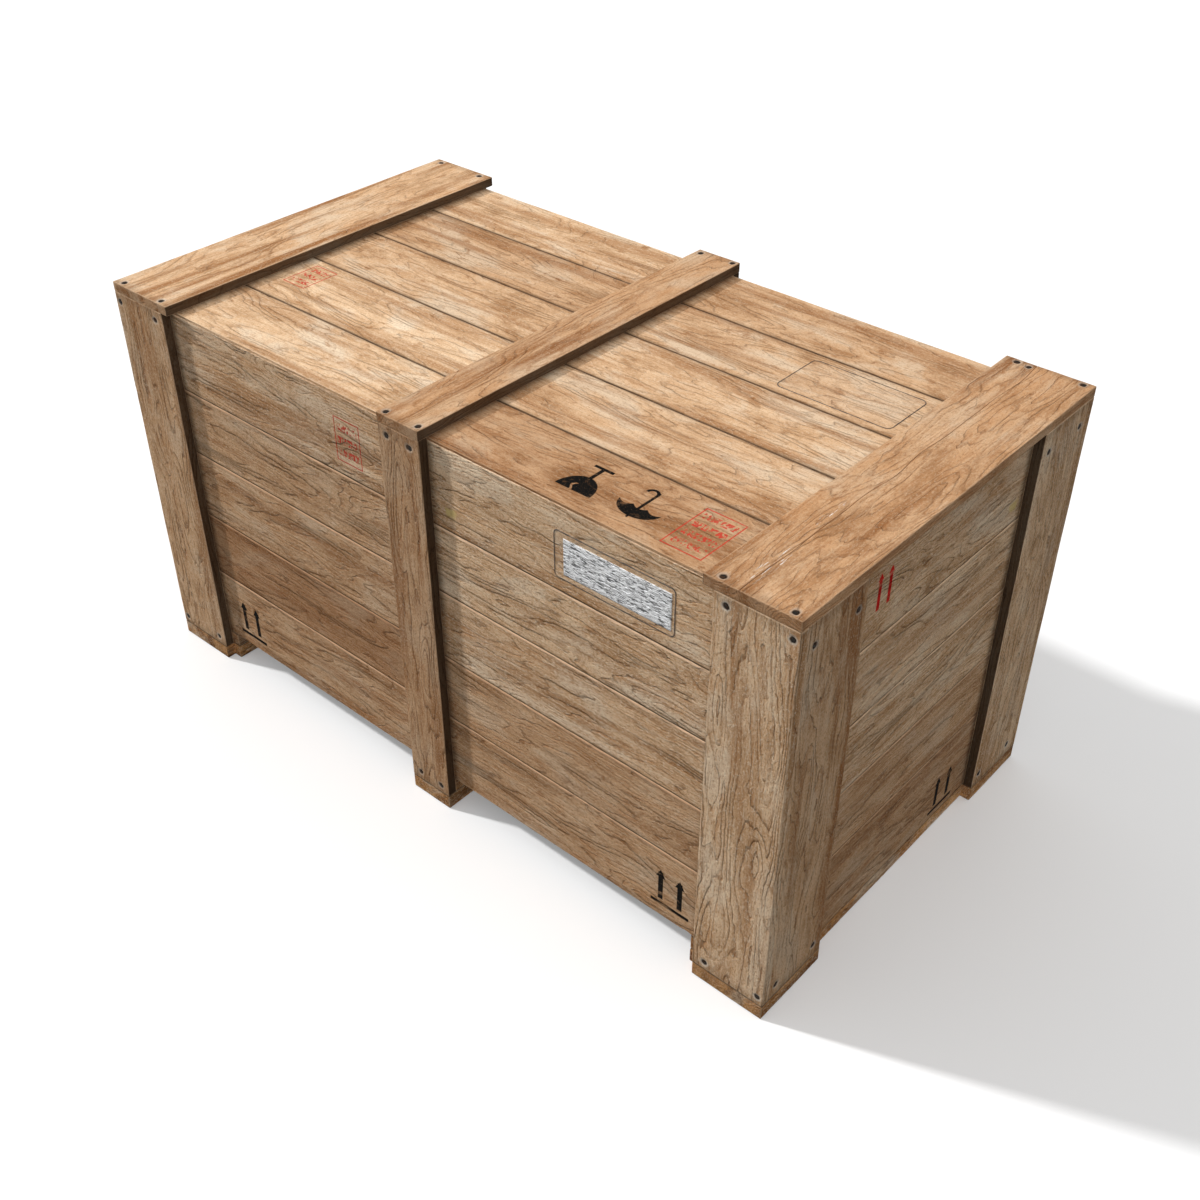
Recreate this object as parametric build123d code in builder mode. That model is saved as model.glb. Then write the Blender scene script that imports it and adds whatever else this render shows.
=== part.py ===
from build123d import *
import os
from collections import namedtuple
from math import sin

# A nailed timber crate: boarded walls between outside battens, on three runners, under a
# lid that lifts off. Millimetres. The origin is on the floor under the middle of the crate,
# +X runs along its length, -Y is its front and +Z is up.

# ---- Overall size, over the battens ---------------------------------------------------
LENGTH = 1200.0
DEPTH = 644.0
HEIGHT = 637.5

# ---- Timber -----------------------------------------------------------------------------
BOARD_THICK = 15.0
BATTEN_THICK = 15.0
BATTEN_WIDE = 112.0  # beside each corner
BATTEN_NARROW = 75.0  # halfway along
RUNNER_THICK = 24.5
BEARER_THICK = 24.2
EDGE_EASE = 1.2
BOARD_GAP = 1.0

# How the boards share a wall's height from the bottom up, and the lid or floor from the front
SIDE_PARTS = (121, 109, 111, 106, 123)
END_PARTS = (138, 109, 110, 112, 125)
LID_PARTS = (122, 127, 121, 122, 121)
FLOOR_PARTS = (1, 1, 1, 1, 1)

# ---- The lid drops between the walls and hangs on a thin lip over their top edges -------
LIP_THICK = 4.0
LIP_GAP = 0.5  # from the lip to the battens outside it
PLUG_GAP = 1.0  # from the lid's thick part to the walls round it

# ---- The right lid batten has split along its length -------------------------------------
SPLIT_INSET = 32.0  # from the inner edge of the wall battens below
SPLIT_WIDE = 1.0
SPLIT_DEEP = 5.0
SPLIT_NAIL_INSET = 8.0  # from the split to the third nail beside it

# ---- Nails --------------------------------------------------------------------------------
SHANK_RADIUS = 1.5
HEAD_RADIUS = 3.5
HEAD_THICK = 1.2
HEAD_SINK = 0.3  # below the wood's face
POINT_LENGTH = 4.0
POINT_RADIUS = 0.3
NAIL_FIT = 0.05  # round a nail in the wood that it holds
NAIL_FREE = 0.4  # round a lid nail in the wall that it lifts out of
HEAD_FIT = 0.2
POINT_ROOM = 0.5
NAIL_SHY = 2.0  # from a nail's point to the face that it doesn't come through
BASE_NAIL_SHY = 6.0
LID_NAIL_GRIP = 25.0  # into the top of a wall batten
SCATTER = 1.2  # how unevenly nails are driven by hand

# Where nails go, from the edges of the piece that they hold
CORNER_NAIL_INSET = 9.5
INNER_NAIL_INSET = 18.0
MIDDLE_NAIL_INSET = 16.0
SIDE_NAIL_TOP = 14.5
SIDE_NAIL_FOOT = 12.5
END_NAIL_OUTER = 13.0
END_NAIL_INNER = 17.0
END_NAIL_TOP = 33.0
END_NAIL_FOOT = 20.0
LID_NAIL_OUTER = 16.0
LID_NAIL_INNER = 5.0  # from the inner edge of the wall batten below
LID_NAIL_MIDDLE = 8.5
LID_NAIL_SIDE = 9.0
BOARD_NAIL_INSET = 28.0
BOARD_NAIL_SPREAD = 18.0  # each side of the batten's middle
RUNNER_NAILS = 4
RUNNER_NAIL_INSET = 60.0

# ---- The packing label on the front and the empty pouch on the lid -------------------------
POUCH_LONG = 183.0
POUCH_HIGH = 69.0
POUCH_THICK = 0.8
POUCH_CORNER = 7.0
POUCH_INSET = 60.0  # to the batten beside it
POUCH_DROP = 34.0  # below the wall's top edge
CARD_LONG = 162.0
CARD_HIGH = 52.0
CARD_THICK = 0.5
CARD_CORNER = 1.0
CARD_SHIFT = 5.0  # towards the batten
CARD_FIT = 0.5
LID_POUCH_LONG = 174.0
LID_POUCH_WIDE = 93.0
LID_POUCH_THICK = 0.3
LID_POUCH_CORNER = 10.0
LID_POUCH_INSET = 23.0
LID_POUCH_BOARD = 4

# ---- Faces that several pieces are set out from, each that far from the middle ---------------
END_FACE = LENGTH / 2
SIDE_FACE = DEPTH / 2
END_BOARD_FACE = END_FACE - BATTEN_THICK
SIDE_BOARD_FACE = SIDE_FACE - BATTEN_THICK
END_INSIDE = END_BOARD_FACE - BOARD_THICK
SIDE_INSIDE = SIDE_BOARD_FACE - BOARD_THICK
SIDE_BATTEN_EDGE = END_FACE - BATTEN_WIDE  # inner edge of a corner batten on a side wall
END_BATTEN_EDGE = SIDE_BOARD_FACE - BATTEN_WIDE  # and of one on an end wall
BASE_EDGE = SIDE_BATTEN_EDGE - BATTEN_THICK  # and of an end runner, bearer or lid batten
LID_TOP = HEIGHT - BATTEN_THICK
LID_UNDER = LID_TOP - BOARD_THICK
WALL_TOP = LID_TOP - LIP_THICK
DECK = RUNNER_THICK + BEARER_THICK
FLOOR_TOP = DECK + BOARD_THICK

BOARD_NAIL = BOARD_THICK + BATTEN_THICK - NAIL_SHY
FLOOR_NAIL = BOARD_THICK + BEARER_THICK - BASE_NAIL_SHY
RUNNER_NAIL = RUNNER_THICK + BEARER_THICK - BASE_NAIL_SHY
LID_NAIL = BATTEN_THICK + LID_NAIL_GRIP

MIDDLE = (-BATTEN_NARROW / 2, BATTEN_NARROW / 2)
SIDES = {"front": -1, "back": 1}  # the way each side wall faces along Y
ENDS = {"left": -1, "right": 1}  # and each end wall along X
CRATE, LID = "crate", "lid"
INTO_WOOD = (Align.CENTER, Align.CENTER, Align.MAX)

Nail = namedtuple("Nail", "seat length body")  # seat lies on the wood's face, looking out
nails = {}  # every nail, in lists by the name of its group


def span(one, other):
    """The two places in rising order."""
    return min(one, other), max(one, other)


def share(low, high, parts):
    """The edges of each board where boards fill low to high in these parts, a gap apart."""
    unit = (high - low - BOARD_GAP * (len(parts) - 1)) / sum(parts)
    edges = []
    for part in parts:
        edges.append((low, low + part * unit))
        low += part * unit + BOARD_GAP
    return edges


def save(part, name):
    part.label = name
    export_step(part, f"parts/{name}.step")


# ---- Setting out the boards and battens --------------------------------------------------------
side_rows = share(DECK, WALL_TOP, SIDE_PARTS)
end_rows = share(RUNNER_THICK, WALL_TOP, END_PARTS)
lid_rows = share(LIP_GAP - SIDE_BOARD_FACE, SIDE_BOARD_FACE - LIP_GAP, LID_PARTS)
floor_rows = share(-SIDE_INSIDE, SIDE_INSIDE, FLOOR_PARTS)
side_battens = {
    "left": (-END_FACE, -SIDE_BATTEN_EDGE),
    "middle": MIDDLE,
    "right": (SIDE_BATTEN_EDGE, END_FACE),
}
base_columns = {
    "left": (-END_INSIDE, -BASE_EDGE),
    "middle": MIDDLE,
    "right": (BASE_EDGE, END_INSIDE),
}


# ---- Driving the nails ---------------------------------------------------------------------------
def drive(group, x, y, z, out, length, body=CRATE):
    """Adds a nail to a group. Its head shows at x, y, z on a face that looks along out."""
    driven = nails.setdefault(group, [])
    drift = SCATTER * sin(2 * len(driven)), SCATTER * sin(3 * len(driven))
    seat = Plane(origin=(x, y, z), z_dir=out)
    driven.append(Nail(seat.shift_origin(seat.from_local_coords((*drift, 0))), length, body))


def board_pairs(columns, rows):
    """Two nail places where each board crosses each batten, set out on a diagonal."""
    for low, high in columns:
        middle = (low + high) / 2
        for bottom, top in rows:
            yield middle - BOARD_NAIL_SPREAD, bottom + BOARD_NAIL_INSET
            yield middle + BOARD_NAIL_SPREAD, top - BOARD_NAIL_INSET


def nail_side_wall(face):
    """Battens nailed from outside, then the boards to the battens from inside."""
    heights = LID_TOP - SIDE_NAIL_TOP, RUNNER_THICK + SIDE_NAIL_FOOT
    corner = END_FACE - CORNER_NAIL_INSET, SIDE_BATTEN_EDGE + INNER_NAIL_INSET
    middle = (MIDDLE[1] - MIDDLE_NAIL_INSET,)
    for x in corner + middle:
        for end in (-1, 1):
            for z in heights:
                drive("side_batten_nails", end * x, face * SIDE_FACE, z, (0, face, 0), BOARD_NAIL)
    columns = (
        (-END_INSIDE, -SIDE_BATTEN_EDGE),
        MIDDLE,
        (SIDE_BATTEN_EDGE, END_INSIDE),
    )
    for x, z in board_pairs(columns, side_rows):
        drive("wall_board_nails", x, face * SIDE_INSIDE, z, (0, -face, 0), BOARD_NAIL)


def nail_end_wall(face):
    heights = LID_TOP - END_NAIL_TOP, RUNNER_THICK + END_NAIL_FOOT
    for y in (SIDE_BOARD_FACE - END_NAIL_OUTER, END_BATTEN_EDGE + END_NAIL_INNER):
        for side in (-1, 1):
            for z in heights:
                drive("end_batten_nails", face * END_FACE, side * y, z, (face, 0, 0), BOARD_NAIL)
    columns = (-SIDE_INSIDE, -END_BATTEN_EDGE), (END_BATTEN_EDGE, SIDE_INSIDE)
    above_floor = [(max(bottom, FLOOR_TOP), top) for bottom, top in end_rows]
    for y, z in board_pairs(columns, above_floor):
        drive("wall_board_nails", face * END_INSIDE, y, z, (-face, 0, 0), BOARD_NAIL)


def nail_lid():
    """Lid battens nailed down into the wall battens, and lid boards nailed from below."""
    corner = END_FACE - LID_NAIL_OUTER, SIDE_BATTEN_EDGE + LID_NAIL_INNER
    middle = (MIDDLE[1] - LID_NAIL_MIDDLE,)
    y = SIDE_FACE - LID_NAIL_SIDE
    for side in (-1, 1):
        for x in corner + middle:
            for end in (-1, 1):
                drive("lid_batten_nails", end * x, side * y, HEIGHT, (0, 0, 1), LID_NAIL, LID)
    x = SIDE_BATTEN_EDGE + SPLIT_INSET - SPLIT_NAIL_INSET
    drive("lid_batten_nails", x, y, HEIGHT, (0, 0, 1), LID_NAIL, LID)
    inside = [(max(low, -SIDE_INSIDE), min(high, SIDE_INSIDE)) for low, high in lid_rows]
    for x, y in board_pairs(base_columns.values(), inside):
        drive("lid_board_nails", x, y, LID_UNDER, (0, 0, -1), BOARD_NAIL, LID)


def nail_base():
    """Floor boards nailed down into the bearers, and the runners nailed on from below."""
    for x, y in board_pairs(base_columns.values(), floor_rows):
        drive("floor_nails", x, y, FLOOR_TOP, (0, 0, 1), FLOOR_NAIL)
    reach = SIDE_FACE - RUNNER_NAIL_INSET
    for low, high in base_columns.values():
        for step in range(RUNNER_NAILS):
            y = reach * (2 * step / (RUNNER_NAILS - 1) - 1)
            drive("runner_nails", (low + high) / 2, y, 0, (0, 0, -1), RUNNER_NAIL)


def make_nails(name):
    seats = [nail.seat for nail in nails[name]]
    shank = nails[name][0].length - HEAD_SINK - HEAD_THICK - POINT_LENGTH
    with BuildPart() as group:
        with Locations(*[seat.offset(-HEAD_SINK).location for seat in seats]):
            Cylinder(HEAD_RADIUS, HEAD_THICK, align=INTO_WOOD)
        with Locations(*[seat.offset(-HEAD_SINK - HEAD_THICK).location for seat in seats]):
            Cylinder(SHANK_RADIUS, shank, align=INTO_WOOD)
        with Locations(*[seat.offset(POINT_LENGTH - nails[name][0].length).location for seat in seats]):
            Cone(POINT_RADIUS, SHANK_RADIUS, POINT_LENGTH, align=INTO_WOOD)
    save(group.part, name)


def crosses(nail, x, y, z):
    """True if the nail's shank enters the box that fills these three spans."""
    head = nail.seat.origin
    point = head - nail.seat.z_dir * nail.length
    for near, far, (low, high) in zip(head, point, (x, y, z)):
        thick = SHANK_RADIUS if near == far else 0
        if min(near, far) - thick >= high or max(near, far) + thick <= low:
            return False
    return True


def drill(x, y, z, body):
    """Cuts the hole of every nail that enters the piece being built, which fills the box."""
    for nail in sum(nails.values(), []):
        if crosses(nail, x, y, z):
            own = nail.body == body
            with Locations(nail.seat.location):
                hole = SHANK_RADIUS + (NAIL_FIT if own else NAIL_FREE)
                Cylinder(hole, nail.length + POINT_ROOM, align=INTO_WOOD, mode=Mode.SUBTRACT)
                if own:
                    recess = HEAD_SINK + HEAD_THICK
                    Cylinder(HEAD_RADIUS + HEAD_FIT, recess, align=INTO_WOOD, mode=Mode.SUBTRACT)


# ---- Timber ------------------------------------------------------------------------------------
def block(x, y, z, mode=Mode.ADD):
    """A plain box that fills these three spans."""
    with Locations(((x[0] + x[1]) / 2, (y[0] + y[1]) / 2, z[0])):
        upright = (Align.CENTER, Align.CENTER, Align.MIN)
        Box(x[1] - x[0], y[1] - y[0], z[1] - z[0], align=upright, mode=mode)


def timber(name, x, y, z, grain, body=CRATE, cuts=()):
    """A straight piece that fills three spans, with eased edges along its grain, and nail holes.

    Each of the cuts is three spans of a box that is taken off it.
    """
    with BuildPart() as piece:
        block(x, y, z)
        chamfer(piece.edges().filter_by(grain), EDGE_EASE)
        for cut in cuts:
            block(*cut, mode=Mode.SUBTRACT)
        drill(x, y, z, body)
    save(piece.part, name)


def make_side_wall(name, face):
    outside = span(face * SIDE_BOARD_FACE, face * SIDE_FACE)
    boards = span(face * SIDE_INSIDE, face * SIDE_BOARD_FACE)
    for number, row in enumerate(side_rows, 1):
        timber(f"{name}_board_{number}", (-END_INSIDE, END_INSIDE), boards, row, Axis.X)
    for place, column in side_battens.items():
        timber(f"{name}_{place}_batten", column, outside, (RUNNER_THICK, LID_TOP), Axis.Z)


def make_end_wall(name, face):
    outside = span(face * END_BOARD_FACE, face * END_FACE)
    boards = span(face * END_INSIDE, face * END_BOARD_FACE)
    across = (-SIDE_BOARD_FACE, SIDE_BOARD_FACE)
    for number, row in enumerate(end_rows, 1):
        timber(f"{name}_end_board_{number}", boards, across, row, Axis.Y)
    for place, side in SIDES.items():
        column = span(side * END_BATTEN_EDGE, side * SIDE_BOARD_FACE)
        timber(f"{name}_end_{place}_batten", outside, column, (RUNNER_THICK, LID_TOP), Axis.Z)


def make_lid():
    reach = END_BOARD_FACE - LIP_GAP
    plug_end, plug_side = END_INSIDE - PLUG_GAP, SIDE_INSIDE - PLUG_GAP
    rebate = (LID_UNDER, WALL_TOP)
    for number, (low, high) in enumerate(lid_rows, 1):
        cuts = [(span(end * plug_end, end * reach), (low, high), rebate) for end in (-1, 1)]
        if low < -plug_side:
            cuts.append(((-reach, reach), (low, -plug_side), rebate))
        if high > plug_side:
            cuts.append(((-reach, reach), (plug_side, high), rebate))
        thick = (LID_UNDER, LID_TOP)
        timber(f"lid_board_{number}", (-reach, reach), (low, high), thick, Axis.X, LID, cuts)
    split = SIDE_BATTEN_EDGE + SPLIT_INSET
    groove = (split - SPLIT_WIDE / 2, split + SPLIT_WIDE / 2)
    across = (-SIDE_FACE, SIDE_FACE)
    columns = {"left": (-END_FACE, -BASE_EDGE), "middle": MIDDLE, "right": (BASE_EDGE, END_FACE)}
    for place, column in columns.items():
        cuts = [(groove, across, (HEIGHT - SPLIT_DEEP, HEIGHT))] if place == "right" else []
        timber(f"lid_{place}_batten", column, across, (LID_TOP, HEIGHT), Axis.Y, LID, cuts)


def make_base():
    across = (-SIDE_FACE, SIDE_FACE)
    low = (0, RUNNER_THICK)
    timber("middle_runner", MIDDLE, across, low, Axis.Y)
    for name, end in ENDS.items():
        width = span(end * BASE_EDGE, end * END_FACE)
        # Cut back between the end battens, and beside the side battens, to stay under them
        cuts = [(span(end * END_BOARD_FACE, end * END_FACE), (-END_BATTEN_EDGE, END_BATTEN_EDGE), low)]
        for side in (-1, 1):
            notch = span(side * SIDE_BOARD_FACE, side * SIDE_FACE)
            cuts.append((span(end * BASE_EDGE, end * SIDE_BATTEN_EDGE), notch, low))
        timber(f"{name}_runner", width, across, low, Axis.Y, CRATE, cuts)
    for place, column in base_columns.items():
        seat = (-SIDE_BOARD_FACE, SIDE_BOARD_FACE)
        timber(f"{place}_bearer", column, seat, (RUNNER_THICK, DECK), Axis.Y)
    for number, row in enumerate(floor_rows, 1):
        timber(f"floor_board_{number}", (-END_INSIDE, END_INSIDE), row, (DECK, FLOOR_TOP), Axis.X)


# ---- Label and pouches -----------------------------------------------------------------------------
def make_label():
    """A stiff card under a clear pouch with a pressed-down rim, on the front's top board."""
    middle = SIDE_BATTEN_EDGE - POUCH_INSET - POUCH_LONG / 2, WALL_TOP - POUCH_DROP - POUCH_HIGH / 2
    card_middle = middle[0] + CARD_SHIFT, middle[1]
    wall = Plane.XZ.offset(SIDE_BOARD_FACE)
    with BuildPart() as pouch:
        with BuildSketch(wall):
            with Locations(middle):
                RectangleRounded(POUCH_LONG, POUCH_HIGH, POUCH_CORNER)
        extrude(amount=POUCH_THICK)
        with BuildSketch(wall):
            with Locations(card_middle):
                pocket = CARD_LONG + 2 * CARD_FIT, CARD_HIGH + 2 * CARD_FIT
                RectangleRounded(*pocket, CARD_CORNER + CARD_FIT)
        extrude(amount=CARD_THICK, mode=Mode.SUBTRACT)
    save(pouch.part, "label_pouch")
    with BuildPart() as card:
        with BuildSketch(wall):
            with Locations(card_middle):
                RectangleRounded(CARD_LONG, CARD_HIGH, CARD_CORNER)
        extrude(amount=CARD_THICK)
    save(card.part, "label_card")


def make_lid_pouch():
    low, high = lid_rows[LID_POUCH_BOARD - 1]
    with BuildPart() as pouch:
        with BuildSketch(Plane.XY.offset(LID_TOP)):
            with Locations((BASE_EDGE - LID_POUCH_INSET - LID_POUCH_LONG / 2, (low + high) / 2)):
                RectangleRounded(LID_POUCH_LONG, LID_POUCH_WIDE, LID_POUCH_CORNER)
        extrude(amount=LID_POUCH_THICK)
    save(pouch.part, "lid_pouch")


os.makedirs("parts", exist_ok=True)
for side_wall in SIDES.values():
    nail_side_wall(side_wall)
for end_wall in ENDS.values():
    nail_end_wall(end_wall)
nail_lid()
nail_base()
for wall, facing in SIDES.items():
    make_side_wall(wall, facing)
for wall, facing in ENDS.items():
    make_end_wall(wall, facing)
make_lid()
make_base()
make_label()
make_lid_pouch()
for nail_group in nails:
    make_nails(nail_group)
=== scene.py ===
import logging
import math
from collections.abc import Iterable, Sequence
from dataclasses import dataclass, field
from enum import Enum
from typing import Any, ClassVar

import bmesh
import bpy
import numpy as np
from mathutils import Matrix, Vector


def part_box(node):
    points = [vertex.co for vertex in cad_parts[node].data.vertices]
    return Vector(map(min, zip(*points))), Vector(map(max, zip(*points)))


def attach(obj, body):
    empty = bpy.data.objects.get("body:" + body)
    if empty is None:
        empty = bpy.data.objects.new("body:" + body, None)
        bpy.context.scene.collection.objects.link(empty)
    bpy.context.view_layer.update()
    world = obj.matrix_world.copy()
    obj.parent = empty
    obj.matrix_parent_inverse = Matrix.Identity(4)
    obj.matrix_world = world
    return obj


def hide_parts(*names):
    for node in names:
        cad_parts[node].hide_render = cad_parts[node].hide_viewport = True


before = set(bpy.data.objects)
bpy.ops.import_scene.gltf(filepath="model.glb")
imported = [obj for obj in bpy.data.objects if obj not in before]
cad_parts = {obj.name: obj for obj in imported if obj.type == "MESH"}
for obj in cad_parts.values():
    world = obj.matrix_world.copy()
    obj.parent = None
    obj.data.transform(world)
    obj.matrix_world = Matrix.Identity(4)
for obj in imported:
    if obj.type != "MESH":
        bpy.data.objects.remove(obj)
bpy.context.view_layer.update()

# A nailed timber crate, dressed piece by piece over its CAD frame. Sizes are in millimetres in
# the frame's axes: the origin is on the floor under the middle, +X runs along the crate's
# length, -Y is its front and +Z is up. Only finished meshes are in metres.

log = logging.getLogger("crate")
MM = 0.001
Colour = tuple[float, float, float]
Array = np.ndarray


class Axis(Enum):
    """The frame's axes, as places in a point."""

    X = 0
    Y = 1
    Z = 2


class Slot(Enum):
    """The record's material slots."""

    BOARD = "board_wood"
    BATTEN = "batten_wood"
    RUNNER = "runner_wood"
    NAIL = "nail_steel"
    CARD = "label_foil"
    POUCH = "pouch_film"


# ---- Shader maths ------------------------------------------------------------------------------


class Link:
    """A node's output socket, on which Python's operators add Math nodes."""

    def __init__(self, recipe: "Recipe", socket: bpy.types.NodeSocket) -> None:
        """Keeps the socket and the recipe that it belongs to."""
        self.recipe = recipe
        self.socket = socket

    def _math(self, operation: str, *values: "Link | float", clamp: bool = False) -> "Link":
        """Adds a Math node."""
        settings = {"operation": operation, "use_clamp": clamp}
        return self.recipe.node("ShaderNodeMath", settings, dict(enumerate(values)))

    def __add__(self, other: "Link | float") -> "Link":
        """The sum."""
        return self._math("ADD", self, other)

    def __sub__(self, other: "Link | float") -> "Link":
        """The difference."""
        return self._math("SUBTRACT", self, other)

    def __rsub__(self, other: float) -> "Link":
        """The difference from a number."""
        return self._math("SUBTRACT", other, self)

    def __mul__(self, other: "Link | float") -> "Link":
        """The product."""
        return self._math("MULTIPLY", self, other)

    def __truediv__(self, other: "Link | float") -> "Link":
        """The quotient."""
        return self._math("DIVIDE", self, other)

    def __pow__(self, other: float) -> "Link":
        """The power."""
        return self._math("POWER", self, other)

    def __abs__(self) -> "Link":
        """The size without its sign."""
        return self._math("ABSOLUTE", self)

    def __mod__(self, other: float) -> "Link":
        """What is left over from whole steps, never below 0."""
        return self._math("FLOORED_MODULO", self, other)

    __radd__ = __add__
    __rmul__ = __mul__

    def least(self, other: "Link | float") -> "Link":
        """The smaller of two."""
        return self._math("MINIMUM", self, other)

    def most(self, other: "Link | float") -> "Link":
        """The larger of two."""
        return self._math("MAXIMUM", self, other)

    def held(self) -> "Link":
        """The value kept between 0 and 1."""
        return self._math("ADD", self, 0.0, clamp=True)

    def sine(self) -> "Link":
        """The sine."""
        return self._math("SINE", self)

    def rise(self, low: "Link | float", high: "Link | float") -> "Link":
        """0 below low, 1 above high and a smooth step between."""
        settings = {"interpolation_type": "SMOOTHSTEP"}
        return self.recipe.node(
            "ShaderNodeMapRange", settings, {"Value": self, "From Min": low, "From Max": high}
        )

    def fall(self, low: "Link | float", high: "Link | float") -> "Link":
        """1 below low, 0 above high and a smooth step between."""
        return 1 - self.rise(low, high)

    def near(self, place: float, half: float, soft: float = 0.45) -> "Link":
        """1 within half of a place and 0 beyond it."""
        return abs(self - place).fall(half - soft, half + soft)


class Recipe:
    """The nodes of a material or a world, added one at a time."""

    def __init__(self, name: str) -> None:
        """Starts an empty material.

        Args:
            name: The material's name.
        """
        self.material = bpy.data.materials.new(name)
        self._clear(self.material)

    @classmethod
    def on(cls, world: bpy.types.World) -> "Recipe":
        """Starts a world's nodes instead of a material's."""
        made = cls.__new__(cls)
        made._clear(world)
        return made

    def _clear(self, owner: bpy.types.Material | bpy.types.World) -> None:
        """Empties the nodes of what they belong to."""
        owner.use_nodes = True
        self.tree = owner.node_tree
        self.tree.nodes.clear()

    def node(
        self,
        kind: str,
        settings: dict[str, Any] | None = None,
        sockets: dict[int | str, Any] | None = None,
        out: int | str = 0,
    ) -> Link:
        """Adds a node.

        Args:
            kind: Blender's name for the node's type.
            settings: Its own settings, which are set first. "stops" are a ramp's places and colours.
            sockets: Links or values for its inputs, by name or number.
            out: The output to give back.

        Returns:
            That output.
        """
        made = self.tree.nodes.new(kind)
        for name, value in (settings or {}).items():
            if name == "stops":
                ramp = made.color_ramp
                while len(ramp.elements) < len(value):
                    ramp.elements.new(1.0)
                for element, (place, colour) in zip(ramp.elements, value):
                    element.position = place
                    element.color = (*colour, 1.0)
            else:
                setattr(made, name, value)
        for name, value in (sockets or {}).items():
            socket = made.inputs[name]
            if isinstance(value, Link):
                self.tree.links.new(value.socket, socket)
            elif isinstance(value, tuple) and len(socket.default_value) == 4:
                socket.default_value = (*value, 1.0)
            else:
                socket.default_value = value
        return Link(self, made.outputs[out])

    def mix(self, share: Link | float, one: Link | Colour, other: Link | Colour, way: str = "MIX") -> Link:
        """A colour that turns from one to the other as share goes from 0 to 1."""
        settings = {"data_type": "RGBA", "blend_type": way, "clamp_factor": True}
        return self.node("ShaderNodeMix", settings, {0: share, 6: one, 7: other}, 2)

    def point(self, u: Link | float, v: Link | float, w: Link | float) -> Link:
        """A vector from its three parts."""
        return self.node("ShaderNodeCombineXYZ", {}, {0: u, 1: v, 2: w})

    def scaled(self, point: Link, size: tuple[float, float, float], shift: float = 0.0) -> Link:
        """A point divided by a size and moved, to look a noise up at that size."""
        settings = {"operation": "MULTIPLY_ADD"}
        steps = tuple(1 / part for part in size)
        moved = (shift, shift * 0.37, shift * 0.61)
        return self.node("ShaderNodeVectorMath", settings, {0: point, 1: steps, 2: moved})

    def noise(
        self,
        point: Link,
        size: tuple[float, float, float],
        shift: float = 0.0,
        detail: float = 2.0,
        rough: float = 0.5,
        twist: float = 0.0,
    ) -> Link:
        """Smooth noise from 0 to 1.

        Args:
            point: Where to look it up.
            size: The size of its lumps each way.
            shift: Moves it, so that no two pieces match.
            detail: How many finer layers it has.
            rough: How strong those are.
            twist: How much it is swirled.

        Returns:
            The noise.
        """
        values = {"Vector": self.scaled(point, size, shift), "Scale": 1.0, "Detail": detail}
        values |= {"Roughness": rough, "Distortion": twist}
        return self.node("ShaderNodeTexNoise", {"noise_dimensions": "3D"}, values)

    def place(self) -> Link:
        """The place on the object, in millimetres."""
        return self.scaled(self.node("ShaderNodeTexCoord", {}, {}, "Object"), (MM, MM, MM))

    def finish(self, shader: dict[str, Any], bump: Link | None, depth: float = 1.0) -> bpy.types.Material:
        """Ends the material in one Principled shader.

        Args:
            shader: The shader's sockets.
            bump: Heights in millimetres, or None.
            depth: How strongly the heights tell.

        Returns:
            The material.
        """
        if bump is not None:
            relief = {"Strength": depth, "Distance": MM, "Height": bump}
            shader = shader | {"Normal": self.node("ShaderNodeBump", {}, relief)}
        surface = self.node("ShaderNodeBsdfPrincipled", {}, shader)
        output = self.tree.nodes.new("ShaderNodeOutputMaterial")
        self.tree.links.new(surface.socket, output.inputs["Surface"])
        return self.material


# ---- Painted marks -----------------------------------------------------------------------------

PAINT_BLUR = 0.4
BLACK_PAINT: Colour = (0.007, 0.0065, 0.006)
RED_PAINT: Colour = (0.60, 0.045, 0.030)
BRIGHT_RED: Colour = (0.72, 0.020, 0.016)
SCRATCH: Colour = (0.90, 0.86, 0.80)
RESIN: Colour = (0.86, 0.68, 0.27)


@dataclass(frozen=True)
class Mark:
    """A mark stencilled on a board, in the two axes of the board's face."""

    across: float
    up: float
    colour: Colour = BLACK_PAINT
    flip: int = 1
    strength: float = 1.0

    def shape(self, a: Link, b: Link) -> Link:
        """The mark's cover, from 0 to 1, at a place measured from its middle."""
        raise NotImplementedError

    def cover(self, recipe: Recipe, face: tuple[Link, Link], worn: Link) -> Link:
        """How much paint lies at each place.

        Args:
            recipe: The material's nodes; not used.
            face: The two axes of the board's face.
            worn: 0 where the paint has worn off, 1 where it is whole.

        Returns:
            The cover, from 0 to 1.
        """
        a, b = face
        return self.shape((a - self.across) * self.flip, (b - self.up) * self.flip) * worn * self.strength


@dataclass(frozen=True)
class TwinArrows(Mark):
    """Two arrows that point up over a bar."""

    pitch: float = 31.5
    tall: float = 54.0
    shaft: float = 4.1
    head: float = 8.0
    bar: float = 2.8
    bar_long: float = 31.5

    def shape(self, a: Link, b: Link) -> Link:
        """Both arrows at once, by folding the plane between them."""
        side = abs(abs(a) - self.pitch / 2)
        top = self.tall / 2
        neck = top - self.head * 1.75
        shaft = side.fall(self.shaft - PAINT_BLUR, self.shaft + PAINT_BLUR) * b.near(-2.0, top - 2.0)
        taper = (top - b) * (self.head / (top - neck))
        head = (side - taper).fall(-0.5, 0.5) * b.rise(neck - PAINT_BLUR, neck + PAINT_BLUR)
        cover = shaft.most(head)
        if self.bar:
            foot = -top - 8.0
            cover = cover.most(b.near(foot, self.bar) * a.near(0, self.bar_long))
        return cover


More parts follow.
